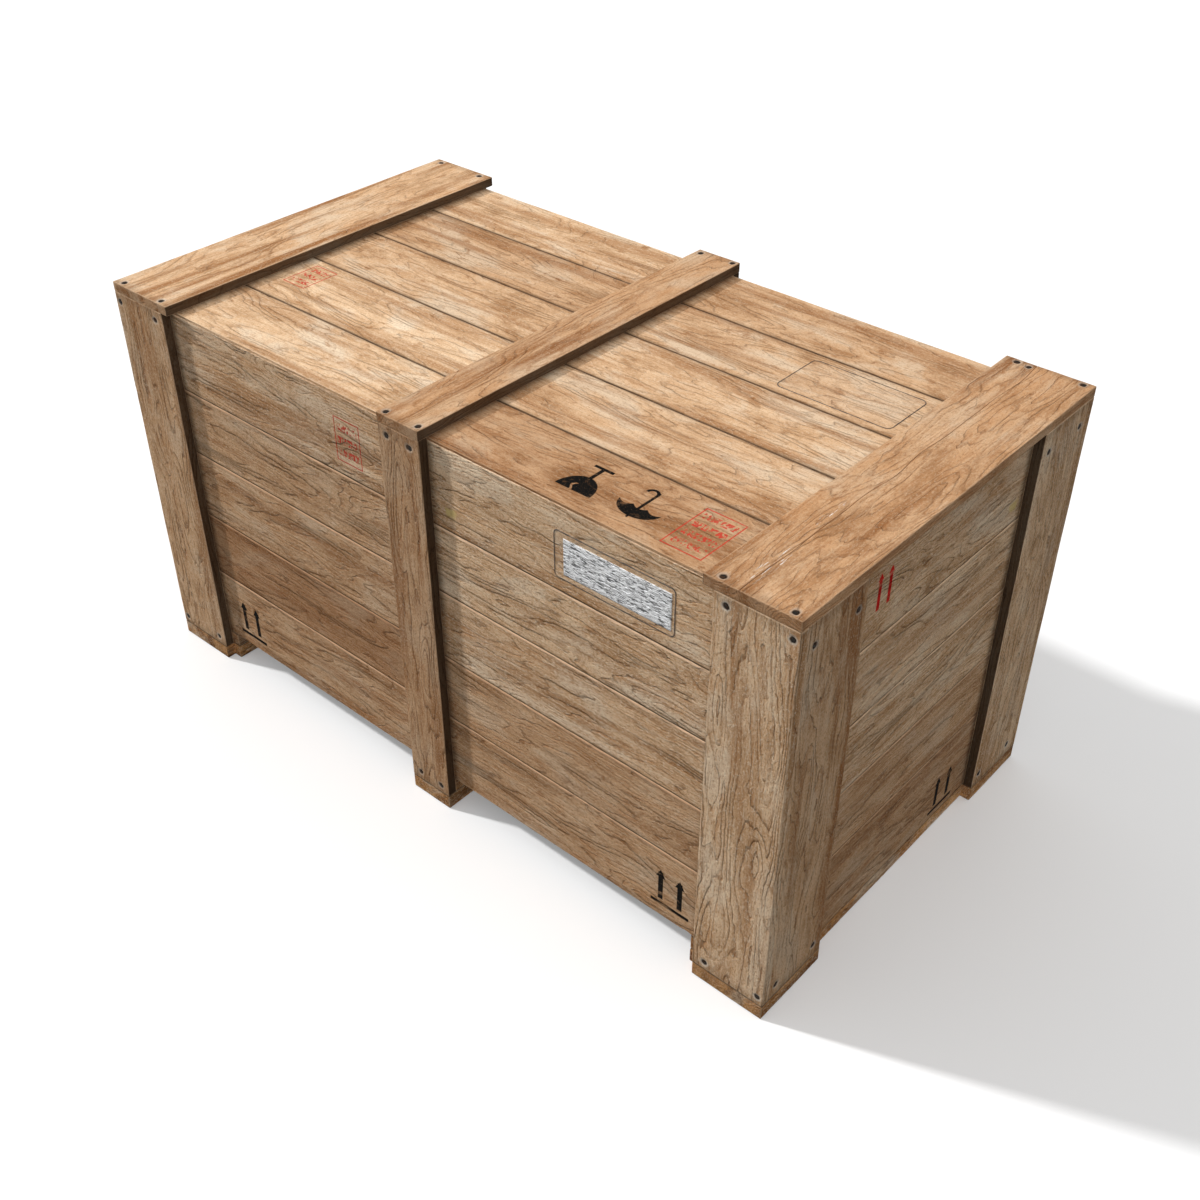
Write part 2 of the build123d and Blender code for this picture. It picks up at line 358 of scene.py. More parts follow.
@dataclass(frozen=True)
class WordBlock(Mark):
    """A frame round rows of blurred bars that can't be read as words."""

    wide: float = 50.0
    tall: float = 66.0
    rows: int = 3
    line: float = 0.9
    strength: float = 0.9

    def shape(self, a: Link, b: Link) -> Link:
        """The frame, and bars cut into short runs by noise."""
        half, high = self.wide / 2, self.tall / 2
        edge = (abs(a) - half).most(abs(b) - high)
        frame_line = abs(edge + self.line).fall(self.line - PAINT_BLUR, self.line + PAINT_BLUR)
        pitch = (self.tall - 10) / self.rows
        row = abs((b + high - 5) % pitch - pitch / 2).fall(pitch * 0.27, pitch * 0.27 + 0.8)
        recipe = a.recipe
        runs = recipe.noise(recipe.point(a, b, 0.0), (3.1, 5.2, 1.0), self.across, 1.0)
        inside = edge.fall(-6.0, -5.0)
        return frame_line.most(row * inside * runs.rise(0.47, 0.56))


@dataclass(frozen=True)
class Goblet(Mark):
    """A wine glass with a crack in its bowl."""

    tall: float = 60.0
    bowl: float = 27.0

    def shape(self, a: Link, b: Link) -> Link:
        """The foot, the stem and a bowl cut off straight at its rim."""
        half = self.tall / 2
        foot = a.near(0, 15.0) * b.near(2.4 - half, 2.4)
        stem = a.near(0, 2.7) * b.near(-half / 2 + 1, half / 2)
        drop = (half - b) / (self.tall * 0.56)
        side = a / self.bowl
        bowl = (side * side + drop * drop).fall(0.94, 1.02) * b.fall(half - 0.5, half + 0.3)
        crack = (a - ((b / 2.6).sine() * 2.2 + 6.0)).near(0, 1.6) * b.rise(half - 16, half - 15)
        return foot.most(stem).most(bowl * (1 - crack))


@dataclass(frozen=True)
class Umbrella(Mark):
    """An open umbrella with a hooked handle."""

    tall: float = 64.0
    reach: float = 31.0

    def shape(self, a: Link, b: Link) -> Link:
        """A scalloped canopy, its stick, and a hook at the foot."""
        half = self.tall / 2
        rise = (b - (half - 26.0)) / 24.0
        side = a / self.reach
        dome = (side * side + rise * rise).fall(0.94, 1.02)
        scallop = abs(((a + self.reach) % 20.67) / 20.67 - 0.5) * 2
        hem = (b - (half - 25.5) - (1 - scallop * scallop) * 5.0).rise(-PAINT_BLUR, PAINT_BLUR)
        stick = a.near(0, 2.0) * b.near(-5.0, half - 8.0)
        da, db = a - 7.5, b + (half - 9.0)
        ring = (da * da + db * db) ** 0.5
        hook = abs(ring - 7.5).fall(1.7, 2.5) * db.fall(-PAINT_BLUR, PAINT_BLUR)
        tip = a.near(0, 1.5) * b.near(half - 1.5, 2.5)
        return (dome * hem).most(stick).most(hook).most(tip)


@dataclass(frozen=True)
class Scratches(Mark):
    """Pale scuffs dragged along the grain."""

    long: float = 48.0
    wide: float = 9.0

    def shape(self, a: Link, b: Link) -> Link:
        """Broken lines inside a long oval."""
        recipe = a.recipe
        dashes = recipe.noise(recipe.point(a, b, 0.0), (1.7, 21.0, 1.0), self.up, 3.0, 0.6)
        oval = (a * a / self.wide**2 + b * b / self.long**2) ** 0.5
        return dashes.rise(0.56, 0.66) * oval.fall(0.6, 1.1)


@dataclass(frozen=True)
class ResinSpot(Mark):
    """A smear of dried resin."""

    reach: float = 15.0

    def shape(self, a: Link, b: Link) -> Link:
        """A blurred oval with an uneven edge."""
        recipe = a.recipe
        lumps = recipe.noise(recipe.point(a, b, 0.0), (9.0, 9.0, 1.0), self.up, 3.0)
        oval = (a * a / self.reach**2 + b * b / (self.reach * 0.72) ** 2) ** 0.5
        return (oval + lumps * 1.1).fall(0.9, 1.45) * 0.75


# ---- Finishes ----------------------------------------------------------------------------------


@dataclass(frozen=True)
class Wood:
    """Weathered, sandy softwood with flame grain."""

    pale: Colour = (0.93, 0.65, 0.405)
    tan: Colour = (0.79, 0.50, 0.28)
    brown: Colour = (0.41, 0.185, 0.068)
    line: Colour = (0.165, 0.078, 0.034)
    stain: Colour = (0.50, 0.275, 0.130)
    cream: Colour = (0.93, 0.76, 0.56)
    rubbed: Colour = (0.93, 0.68, 0.45)
    # painted highlight along a wall board's top edge
    arris: Colour = (0.90, 0.60, 0.38)
    # painted shade: under a wall board's lower edge, on a batten's inner sides, along a runner's top edge
    # and on a board beside its battens
    shade_colour: Colour = (0.046, 0.028, 0.016)
    # painted shade down in the seams and along a lid board's seam edges
    gap: Colour = (0.105, 0.056, 0.028)
    nail_rim: Colour = (0.74, 0.66, 0.56)
    # rust, with painted shade in the dent round a nail's head
    nail_rust_shade: Colour = (0.05, 0.03, 0.02)
    bands: float = 0.5
    cloud: float = 0.6
    lines: float = 1.0
    grit: float = 1.0
    even: float = 1.0
    rough: float = 0.70
    relief: float = 1.0


BOARD = Wood(bands=0.8, cloud=1.05, grit=1.6, relief=1.15)
LID_BOARD = Wood(cloud=1.35, grit=1.05, bands=0.9, lines=0.6)
BATTEN = Wood(bands=0.85, cloud=0.85, lines=1.25, grit=1.5, relief=1.15)
STRIPED = Wood(bands=1.2, cloud=1.0, lines=1.25, grit=1.3, relief=1.15)
LID_BATTEN = Wood(tan=(0.80, 0.47, 0.24), bands=1.25, cloud=1.1, lines=0.6, grit=1.0)
RUNNER = Wood(
    pale=(0.95, 0.50, 0.185),
    tan=(0.60, 0.245, 0.070),
    brown=(0.17, 0.058, 0.016),
    bands=1.2,
    cloud=1.3,
    grit=1.5,
)
INNER = Wood(cloud=0.4, bands=0.35)


class Finish:
    """A surface that changes with the place on the object."""

    def make(self, name: str) -> bpy.types.Material:
        """Makes the material.

        Args:
            name: The material's name.

        Returns:
            The material.
        """
        recipe = Recipe(name)
        shader, heights = self.surface(recipe, recipe.place())
        return recipe.finish(shader, heights)

    def surface(self, recipe: Recipe, point: Link) -> tuple[dict[str, Any], Link]:
        """The shader's sockets, and heights in millimetres."""
        raise NotImplementedError


@dataclass(frozen=True)
class Iron(Finish):
    """Dull nail steel, dark with old rust in its hollows."""

    steel: Colour = (0.018, 0.015, 0.012)
    worn: Colour = (0.16, 0.145, 0.125)
    rust: Colour = (0.060, 0.028, 0.014)

    def surface(self, recipe: Recipe, point: Link) -> tuple[dict[str, Any], Link]:
        """Steel that is rubbed in specks and rusty in patches."""
        fine = recipe.noise(point, (1.1, 1.1, 1.1), 3.0, 4.0, 0.6)
        patches = recipe.noise(point, (4.5, 4.5, 4.5), 9.0, 3.0)
        rusty = patches.rise(0.46, 0.62)
        colour = recipe.mix(fine.rise(0.56, 0.72), self.steel, self.worn)
        shader = {
            "Base Color": recipe.mix(rusty * 0.8, colour, self.rust),
            "Roughness": 0.50 + rusty * 0.35 + fine * 0.12,
            "Metallic": 0.28 - rusty * 0.2,
            "Specular IOR Level": 0.10,
        }
        return shader, fine * 0.12 + patches * 0.1


@dataclass(frozen=True)
class Foil(Finish):
    """Crinkled silver label foil."""

    silver: Colour = (0.97, 0.98, 0.99)
    # painted shade in the crease hollows
    crease_shade: Colour = (0.022, 0.024, 0.028)
    bright: Colour = (0.95, 0.95, 0.96)

    def surface(self, recipe: Recipe, point: Link) -> tuple[dict[str, Any], Link]:
        """Silver with painted shade in the hollows between long creases."""
        creases = recipe.noise(point, (13.0, 13.0, 2.3), 5.0, 2.0, 0.6, 0.15)
        fine = recipe.noise(point, (6.5, 6.5, 1.3), 1.0, 2.0)
        # the crease hollows, where shade is painted
        low = creases.fall(0.39, 0.45).most(fine.fall(0.38, 0.43) * 0.95)
        colour = recipe.mix(low * 0.92, self.silver, self.crease_shade)
        shader = {
            "Base Color": recipe.mix(fine.rise(0.56, 0.72) * 0.4, colour, self.bright),
            "Metallic": 0.05 + creases * 0.15,
            "Roughness": 0.34 + low * 0.25 + fine * 0.1,
        }
        return shader, creases * 4.0 + fine * 1.2


@dataclass(frozen=True)
class Film(Finish):
    """Clear, slightly grubby film."""

    tint: Colour = (0.72, 0.68, 0.60)
    haze: Colour = (0.55, 0.50, 0.42)
    alpha: float = 0.03

    def surface(self, recipe: Recipe, point: Link) -> tuple[dict[str, Any], Link]:
        """Film that shows where it is hazy or scuffed."""
        haze = recipe.noise(point, (22.0, 22.0, 22.0), 2.0, 4.0, 0.6)
        scuffs = recipe.noise(point, (14.0, 0.9, 1.4), 7.0, 3.0, 0.6)
        shader = {
            "Base Color": recipe.mix(haze, self.tint, self.haze),
            "Roughness": 0.22 + haze * 0.25,
            "Alpha": self.alpha + haze.rise(0.45, 0.75) * 0.05 + scuffs.rise(0.60, 0.72) * 0.08,
        }
        return shader, haze * 0.3 + scuffs * 0.05


@dataclass(frozen=True)
class Welt(Finish):
    """The pouches' pressed rim, coloured dark."""

    # the rim's dark colour
    rim_dark: Colour = (0.045, 0.030, 0.020)
    clear: Colour = (0.20, 0.14, 0.090)

    def surface(self, recipe: Recipe, point: Link) -> tuple[dict[str, Any], Link]:
        """Dark with lighter stretches."""
        lumps = recipe.noise(point, (7.0, 7.0, 7.0), 4.0, 3.0)
        fine = recipe.noise(point, (0.8, 0.8, 0.8), 1.0, 2.0)
        colour = recipe.mix(lumps.rise(0.42, 0.68), self.rim_dark, self.clear)
        return {"Base Color": colour, "Roughness": 0.35 + fine * 0.3}, fine * 0.15


# ---- Timber ------------------------------------------------------------------------------------

NAIL_REACH = 12.0


def smooth_step(value: Array) -> Array:
    """A smooth step from 0 to 1 for values from 0 to 1."""
    held = np.clip(value, 0.0, 1.0)
    return held * held * (3 - 2 * held)


class Wander:
    """Smooth uneven values along one or two lines, from about -1 to 1, the same in every run."""

    def __init__(self, seed: int, size: float, waves: int = 5) -> None:
        """Draws the waves.

        Args:
            seed: Gives each use its own waves.
            size: The length of a typical wave.
            waves: How many are added up.
        """
        draw = np.random.default_rng(seed)
        self.turn = draw.uniform(0, 2 * math.pi, waves)
        self.way = draw.uniform(0, math.pi, waves)
        self.step = 2 * math.pi / (size * draw.uniform(0.6, 1.7, waves))
        self.share = draw.uniform(0.5, 1.0, waves)

    def __call__(self, u: Array, v: Array | float = 0.0) -> Array:
        """The value at each place."""
        total = np.zeros_like(u)
        for turn, way, step, share in zip(self.turn, self.way, self.step, self.share):
            total += share * np.sin(step * (u * math.cos(way) + v * math.sin(way)) + turn)
        return total / self.share.sum() * 1.6


@dataclass(frozen=True)
class Bite:
    """Wood that is missing from a piece's edge or underside, measured from its low corner.

    An edge bite takes depth off the low (-1) or high (+1) edge across the grain between two
    places along it. A face bite takes depth off the low face over a rectangle.
    """

    along: tuple[float, float]
    depth: float
    side: int = 0
    across: tuple[float, float] | None = None

    def inside(self, u: Array, v: Array) -> Array:
        """True where the bite is."""
        there = (u > self.along[0]) & (u < self.along[1])
        if self.across is not None:
            there &= (v > self.across[0]) & (v < self.across[1])
        return there


@dataclass(frozen=True)
class Check:
    """A drying crack along the grain that opens at one end of a face."""

    across: float
    end: int
    long: float
    deep: float = 4.0
    wide: float = 1.0
    face: int = 1
    through: bool = False


@dataclass(frozen=True)
class NailSpot:
    """A nail's head, where it shows and which way it looks."""

    place: tuple[float, float, float]
    axis: int
    facing: int
    long: float


def finished(work: bmesh.types.BMesh, name: str) -> bpy.types.Mesh:
    """Turns a mesh under construction into a mesh, and frees it."""
    mesh = bpy.data.meshes.new(name)
    work.to_mesh(mesh)
    work.free()
    return mesh


def place_piece(
    name: str,
    mesh: bpy.types.Mesh,
    body: str,
    nodes: Sequence[str],
) -> bpy.types.Object:
    """Puts a finished mesh in the scene on its body, in place of its CAD nodes.

    Args:
        name: The piece's name.
        mesh: Its mesh, in metres in the frame's axes.
        body: The CAD body that it rides on.
        nodes: The CAD nodes that it stands for.

    Returns:
        The object.
    """
    made = bpy.data.objects.new(name + "_piece", mesh)
    bpy.context.scene.collection.objects.link(made)
    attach(made, body)
    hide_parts(*nodes)
    log.info("%s: %d faces on %s", made.name, len(mesh.polygons), body)
    return made


@dataclass
class Timber:
    """One sawn piece, rebuilt with worn edges, dents round its nails and its own grain."""

    node: str
    grain: Axis
    flat: Axis
    outside: int
    wood: Wood
    slot: Slot
    body: str = "crate"
    tones: tuple[float, float] = (0.9, 0.9)
    seed: int = 0
    bites: Sequence[Bite] = ()
    checks: Sequence[Check] = ()
    marks: Sequence[Mark] = ()
    # the sides of a batten that get painted shade
    shaded_sides: tuple[int, ...] = ()
    shaded: Sequence[float] = ()
    clean: int = 0
    step: tuple[float, float] = (10.0, 7.5)
    easing: float = 1.0
    low: Array = field(init=False)
    size: Array = field(init=False)

    EDGE_LINES = (0.0, 0.6, 1.4, 2.6, 4.5)
    CLOSEST_LINES = 0.03
    CRACK_LINES = (-0.5, -0.16, 0.16, 0.5)
    STEP_HALF = 0.02
    DENT_REACH = 8.0
    DENT_CUTS = 5
    DENT_DEEP = 0.9
    DISH_DEEP = 0.22
    HEAD_ROOM = 4.0
    CHIP = 2.6
    MOST_ROUNDED = 3.6
    SAW_WOBBLE = 0.8
    FACE_WAVE = 0.10
    SHARP = math.radians(48)
    LEFT_HANDED = ((0, 2, 1), (1, 0, 2), (2, 1, 0))

    def __post_init__(self) -> None:
        """Reads the piece's box from the frame, along, across and through the grain."""
        low, high = (np.array(corner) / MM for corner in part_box(self.node))
        self.across = next(axis for axis in Axis if axis not in (self.grain, self.flat))
        self.order = [self.grain.value, self.across.value, self.flat.value]
        self.low = low[self.order]
        self.size = (high - low)[self.order]

    def _lines(self, long: float, step: float, extra: Iterable[float] = ()) -> Array:
        """The grid lines along one side of the piece: close together at its edges."""
        edge = [line for line in self.EDGE_LINES if line < long / 2 - 0.5]
        inner = np.linspace(edge[-1], long - edge[-1], max(2, round((long - 2 * edge[-1]) / step) + 1))
        lines = np.concatenate([edge, inner, [long - line for line in edge], list(extra)])
        lines = np.unique(np.round(lines[(lines >= 0) & (lines <= long)], 3))
        return lines[np.append(True, np.diff(lines) > self.CLOSEST_LINES)]

    def _lattice(self) -> tuple[Array, Array]:
        """The plain box's surface, as corner points and the quads between them.

        Returns:
            Points in millimetres from the low corner, and rows of four point numbers.
        """
        steps = (-self.STEP_HALF, self.STEP_HALF)
        steps_u = [place + step for bite in self.bites for place in bite.along for step in steps]
        steps_v = [place + step for bite in self.bites for place in bite.across or () for step in steps]
        for check in self.checks:
            steps_v += [check.across + share * check.wide for share in self.CRACK_LINES]
        lines = [
            self._lines(self.size[0], self.step[0], steps_u),
            self._lines(self.size[1], self.step[1], steps_v),
            self._lines(self.size[2], self.step[1]),
        ]
        faces = [
            (axis, end, tuple(end if part == axis else slice(None) for part in range(3)))
            for axis in range(3)
            for end in (0, -1)
        ]
        shape = [len(row) for row in lines]
        outer = np.zeros(shape, bool)
        for _, _, cut in faces:
            outer[cut] = True
        numbers = np.full(shape, -1)
        numbers[outer] = np.arange(outer.sum())
        points = np.stack(np.meshgrid(*lines, indexing="ij"), -1)[outer]
        quads = []
        for axis, end, cut in faces:
            sheet = numbers[cut]
            quad = np.stack([sheet[:-1, :-1], sheet[1:, :-1], sheet[1:, 1:], sheet[:-1, 1:]], -1)
            quad = quad.reshape(-1, 4)
            quads.append(quad[:, ::-1] if (end == 0) == (axis != 1) else quad)
        return points, np.concatenate(quads)

    def _face(self, facing: int) -> float:
        """The height of the broad face that looks up the flat axis (+1) or down it (-1)."""
        return self.size[2] if facing > 0 else 0.0

    def _nails(self, spots: Iterable[NailSpot]) -> list[tuple[float, float, int]]:
        """The nails whose heads show on the piece's two broad faces, as u, v and face."""
        found = []
        for spot in spots:
            u, v, w = np.array(spot.place)[self.order] - self.low
            inside = 0 < u < self.size[0] and 0 < v < self.size[1]
            if spot.axis == self.flat.value and inside and abs(w - self._face(spot.facing)) < 1.0:
                found.append((float(u), float(v), spot.facing))
        return found

    def _refine(self, mesh: bmesh.types.BMesh, nails: Sequence[tuple[float, float, int]]) -> None:
        """Divides the faces round each nail's head finely enough to dent them."""
        chosen = set()
        for edge in mesh.edges:
            one, other = edge.verts[0].co, edge.verts[1].co
            if abs(one.z - other.z) > 0.01:
                continue
            middle = (one + other) / 2
            for u, v, facing in nails:
                far_u, far_v = abs(middle.x - u), abs(middle.y - v)
                beside = far_u < self.DENT_REACH + 2 and far_v < self.DENT_REACH + 1
                if beside and abs(middle.z - self._face(facing)) < 0.01:
                    chosen.add(edge)
        if chosen:
            bmesh.ops.subdivide_edges(mesh, edges=list(chosen), cuts=self.DENT_CUTS, use_grid_fill=True)

    def _rounded(self, points: Array) -> Array:
        """The box's edges rounded unevenly, with a chip here and there."""
        wear = Wander(self.seed * 7 + 1, 70.0)
        nicks = Wander(self.seed * 7 + 2, 26.0, 7)
        u, v, w = points.T
        side = (v > self.size[1] / 2) * 300.0 + (w > self.size[2] / 2) * 700.0
        radius = self.easing * (1.0 + 0.35 * wear(u + side, v * 0.3))
        radius += self.easing * self.CHIP * smooth_step((nicks(u + side * 3.1, v * 0.5) - 0.72) / 0.5)
        radius = np.clip(radius, 0.35, self.MOST_ROUNDED)[:, None]
        core = np.clip(points, radius, self.size - radius)
        out = points - core
        far = np.linalg.norm(out, axis=1, keepdims=True)
        return np.where(far > 1e-6, core + out / np.maximum(far, 1e-6) * radius, points)

    def _shaped(self, points: Array, nails: Sequence[tuple[float, float, int]]) -> Array:
        """The plain box's points bent into the worn piece.

        Args:
            points: Points on the box, from its low corner.
            nails: The heads that show on it.

        Returns:
            The moved points, from the same corner.
        """
        u0, v0, _ = points.T
        missing_low, missing_high, missing_under = (np.zeros_like(u0) for _ in range(3))
        for bite in self.bites:
            there = bite.inside(u0, v0)
            if bite.across is not None:
                missing_under = np.where(there, bite.depth, missing_under)
            elif bite.side < 0:
                missing_low = np.where(there, bite.depth, missing_low)
            else:
                missing_high = np.where(there, bite.depth, missing_high)
        u, v, w = self._rounded(points).T
        for number, check in enumerate(self.checks):
            drift = Wander(self.seed * 7 + 11 + number, 120.0)
            close = smooth_step(1 - np.abs(v0 - check.across) / 22.0)
            v = v + close * (drift(u) - drift(np.array([0.0]))) * 2.6
        low_edge, high_edge = (
            np.clip(0.32 * (1 + Wander(self.seed * 7 + edge, 190.0)(u)) * 0.8, 0, self.SAW_WOBBLE)
            for edge in (3, 4)
        )
        low_edge = low_edge + missing_low
        high_edge = self.size[1] - high_edge - missing_high
        v = low_edge + v / self.size[1] * (high_edge - low_edge)
        waves = Wander(self.seed * 7 + 5, 85.0)
        top = self.FACE_WAVE * (1 + np.clip(waves(u, v * 2.2), -1, 1))
        under = self.FACE_WAVE * (1 + np.clip(waves(u + 900.0, v * 2.2), -1, 1)) + missing_under
        for check in self.checks:
            from_end = u0 if check.end < 0 else self.size[0] - u0
            opening = 1 - smooth_step(from_end / check.long) if not check.through else 1.0
            drift = 0.75 + 0.25 * Wander(self.seed * 7 + 21, 60.0)(u0)
            inside = np.abs(v0 - check.across) < check.wide * 0.3
            groove = np.where(inside, check.deep * opening * drift, 0.0)
            if check.face > 0:
                top = top + groove
            else:
                under = under + groove
        for nail_u, nail_v, facing in nails:
            far = np.hypot(u0 - nail_u, v0 - nail_v)
            rim = self.HEAD_ROOM + 0.35 * Wander(int(nail_u * 7 + nail_v), 5.0)(u0 - nail_u, v0 - nail_v)
            dent = self.DENT_DEEP * (1 - smooth_step((far - rim) / 1.1))
            dent = dent + self.DISH_DEEP * (1 - smooth_step((far - rim) / 4.0))
            if facing > 0:
                top = top + dent
            else:
                under = under + dent
        w = under + w / self.size[2] * (self.size[2] - top - under)
        return np.stack([u, v, w], -1)

    def build(self, spots: Sequence[NailSpot]) -> bpy.types.Object:
        """Makes the piece and dresses it.

        Args:
            spots: Every nail of the crate.

        Returns:
            The finished object.
        """
        points, quads = self._lattice()
        nails = self._nails(spots)
        work = bmesh.new()
        corners = [work.verts.new(point) for point in points.tolist()]
        for quad in quads.tolist():
            work.faces.new([corners[number] for number in quad])
        self._refine(work, nails)
        mesh = finished(work, self.node + "_wood")
        flat = np.empty(len(mesh.vertices) * 3)
        mesh.vertices.foreach_get("co", flat)
        box_points = flat.reshape(-1, 3)
        placed = np.empty_like(box_points)
        placed[:, self.order] = self._shaped(box_points, nails) + self.low
        mesh.vertices.foreach_set("co", (placed * MM).ravel())
        reach = np.ones(len(box_points))
        for u, v, facing in nails:
            far = np.hypot(box_points[:, 0] - u, box_points[:, 1] - v)
            far = far + abs(box_points[:, 2] - self._face(facing))
            reach = np.minimum(reach, far / NAIL_REACH)
        mesh.attributes.new("nail_reach", "FLOAT", "POINT").data.foreach_set("value", reach)
        if tuple(self.order) in self.LEFT_HANDED:
            mesh.flip_normals()
        mesh.shade_smooth()
        mesh.set_sharp_from_angle(angle=self.SHARP)
        mesh.materials.append(Grain(self).make(bool(nails)))
        return place_piece(self.node, mesh, self.body, [self.node])


# ---- Grain -------------------------------------------------------------------------------------


@dataclass(frozen=True)
class Layer:
    """A noise that wood is coloured by, with lumps of a size along and across the grain."""

    long: float
    wide: float
    shift: float
    detail: float = 3.0
    rough: float = 0.6
    twist: float = 0.0


LAYERS = {
    "broad": Layer(260.0, 46.0, 0.0, 1.5, 0.45, 0.3),
    "wavy": Layer(48.0, 15.0, 3.0),
    "patchy": Layer(80.0, 24.0, 6.0),
    "fibre": Layer(30.0, 0.8, 9.0, rough=0.65),
    "strands": Layer(46.0, 2.4, 10.0, rough=0.7),
    "specks": Layer(2.4, 1.1, 12.0, rough=0.75),
    "grit": Layer(4.2, 2.2, 14.0, rough=0.8),
    "bands": Layer(430.0, 27.0, 15.0, rough=0.55),
    "clouds": Layer(120.0, 62.0, 18.0, 4.0, 0.62, 0.4),
    "smudge": Layer(30.0, 17.0, 21.0, 5.0, 0.66, 0.5),
}


@dataclass(frozen=True)
class Coat:
    """One of the wood's colours, laid where a noise says.

    The noise gives none of it at the first of two values and all of it at the second. Without
    them it is used as it is. The share is multiplied by the wood's own number of that name.
    """

    noise: str
    span: tuple[float, float] | None
    share: float
    colour: str
    times: str = "even"


COATS = (
    Coat("late", None, 0.34, "brown", "lines"),
    Coat("clouds", (0.52, 0.34), 0.55, "cream", "cloud"),
    Coat("bands", (0.47, 0.68), 0.80, "brown", "bands"),
    Coat("clouds", (0.50, 0.72), 0.75, "stain", "cloud"),
    Coat("smudge", (0.55, 0.74), 0.62, "brown", "cloud"),
    Coat("crest", None, 0.45, "line", "lines"),
    Coat("strands", (0.50, 0.70), 0.32, "brown", "grit"),
    Coat("fibre", (0.50, 0.78), 0.26, "brown"),
    Coat("grit", (0.53, 0.66), 0.50, "brown", "grit"),
    Coat("pores", None, 0.40, "line", "grit"),
    Coat("grit", (0.47, 0.34), 0.44, "cream", "grit"),
    Coat("strands", (0.46, 0.33), 0.22, "cream", "grit"),
)


class Grain:
    """The material of one piece of wood, laid up coat by coat."""

    # how strong the painted highlight on a wall board's top edge is, on side and end walls
    SIDE_HIGHLIGHT = 0.80
    END_HIGHLIGHT = 0.38
    TONE_TURN = 70.0
    WARMTH = (1.0, 1.38, 1.7)

    def __init__(self, timber: Timber) -> None:
        """Measures the place on the piece and looks up the noises there.

        Args:
            timber: The piece.
        """
        self.timber, self.wood = timber, timber.wood
        self.recipe = Recipe(timber.node + "_grain")
        place = self.recipe.node("ShaderNodeTexCoord", {}, {}, "Object")
        parts = [self.recipe.node("ShaderNodeSeparateXYZ", {}, {0: place}, part) for part in range(3)]
        self.at = [part / MM for part in parts]
        middle = timber.low + timber.size / 2
        self.u, self.v, self.w = (
            self.at[axis] - float(middle[row]) for row, axis in enumerate(timber.order)
        )
        self.half = [float(part / 2) for part in timber.size]
        self.du, self.dv, self.dw = (
            half - abs(part) for half, part in zip(self.half, (self.u, self.v, self.w))
        )
        self.outer = (self.w * timber.outside).rise(self.half[2] - 2.5, self.half[2] - 1.2)
        point = self.recipe.point(self.u, self.v, self.w)
        shift = 17.3 * timber.seed + 4.1
        self.noise: dict[str, Link] = {}
        for name, layer in LAYERS.items():
            size = (layer.long, layer.wide, layer.wide)
            values = (shift + layer.shift, layer.detail, layer.rough, layer.twist)
            self.noise[name] = self.recipe.noise(point, size, *values)
        patchy = self.noise["patchy"]
        self.colour = self.recipe.mix(patchy.rise(0.28, 0.72) * 0.85, self.wood.pale, self.wood.tan)

    def _lay(self, cover: Link | float, colour: Link | Colour) -> None:
        """Lays a colour over what is there."""
        self.colour = self.recipe.mix(cover, self.colour, colour)

    def _rings(self) -> None:
        """Adds the growth rings' late wood and crests, and the pores, to the noises."""
        noise = self.noise
        lean = 0.6 + 0.5 * math.sin(self.timber.seed * 2.4)
        rings = noise["broad"] * 14.0 + noise["wavy"] * 1.5 + self.v * (0.05 * lean) + self.w * 0.12
        turn = rings % 1.0
        ending = turn.fall(0.95, 1.0)
        noise["late"] = turn.rise(0.30, 0.93) * ending
        noise["crest"] = turn.rise(0.72, 0.93) * ending * noise["patchy"].rise(0.34, 0.60)
        noise["pores"] = noise["specks"].rise(0.55, 0.74)

    def _coats(self) -> None:
        """Lays the grain's own colours."""
        for coat in COATS:
            cover = self.noise[coat.noise]
            if coat.span:
                none, full = coat.span
                cover = cover.rise(none, full) if none < full else cover.fall(full, none)
            share = coat.share * getattr(self.wood, coat.times)
            self._lay(cover * share, getattr(self.wood, coat.colour))

    def _edges(self) -> None:
        """Rubs the arrises pale, where two of the three distances are small, and dirties the ends."""
        du, dv, dw = self.du, self.dv, self.dw
        arris = du + dv + dw - du.most(dv).most(dw) - du.least(dv).least(dw)
        self._lay((arris + self.noise["smudge"] * 3.4).fall(1.8, 3.8) * 0.60, self.wood.rubbed)
        self._lay((du + self.noise["patchy"] * 16.0).fall(9.0, 26.0) * 0.30, self.wood.line)

    def _seams(self) -> None:
        """Darkens a board beside its seams and paints shade in them, a highlight on a wall board's top
        edge and shade under its lower edge.
        """
        clean, high, wood = self.timber.clean, self.half[1], self.wood
        patchy, smudge = self.noise["patchy"], self.noise["smudge"]
        seam = high - self.v * clean if clean else self.dv
        self._lay((seam + patchy * 10.0).fall(4.5, 13.0) * self.dw.fall(0.8, 1.6) * 0.36, wood.line)
        if self.timber.across is not Axis.Z:
            # painted shade along a lid board's seam edges
            self._lay((seam - smudge * 1.4).fall(0.2, 1.3) * 0.75, wood.gap)
        elif clean != -1:
            # painted highlight on a wall board's top edge
            lit = (high - self.v + smudge * 1.6).fall(3.2, 4.8) * patchy.fall(0.55, 0.80)
            share = self.SIDE_HIGHLIGHT if self.timber.flat is Axis.Y else self.END_HIGHLIGHT
            self._lay(lit * self.outer * share, wood.arris)
        # painted shade under a wall board's lower edge
        if self.timber.across is Axis.Z and clean != 1:
            self._lay((self.v + high - smudge * 0.8).fall(0.9, 2.4) * 0.85, wood.shade_colour)
        # painted shade down in the seam, on the faces that look into it
        self._lay(seam.fall(0.6, 1.4) * self.dw.rise(0.9, 2.4) * 0.93, wood.gap)

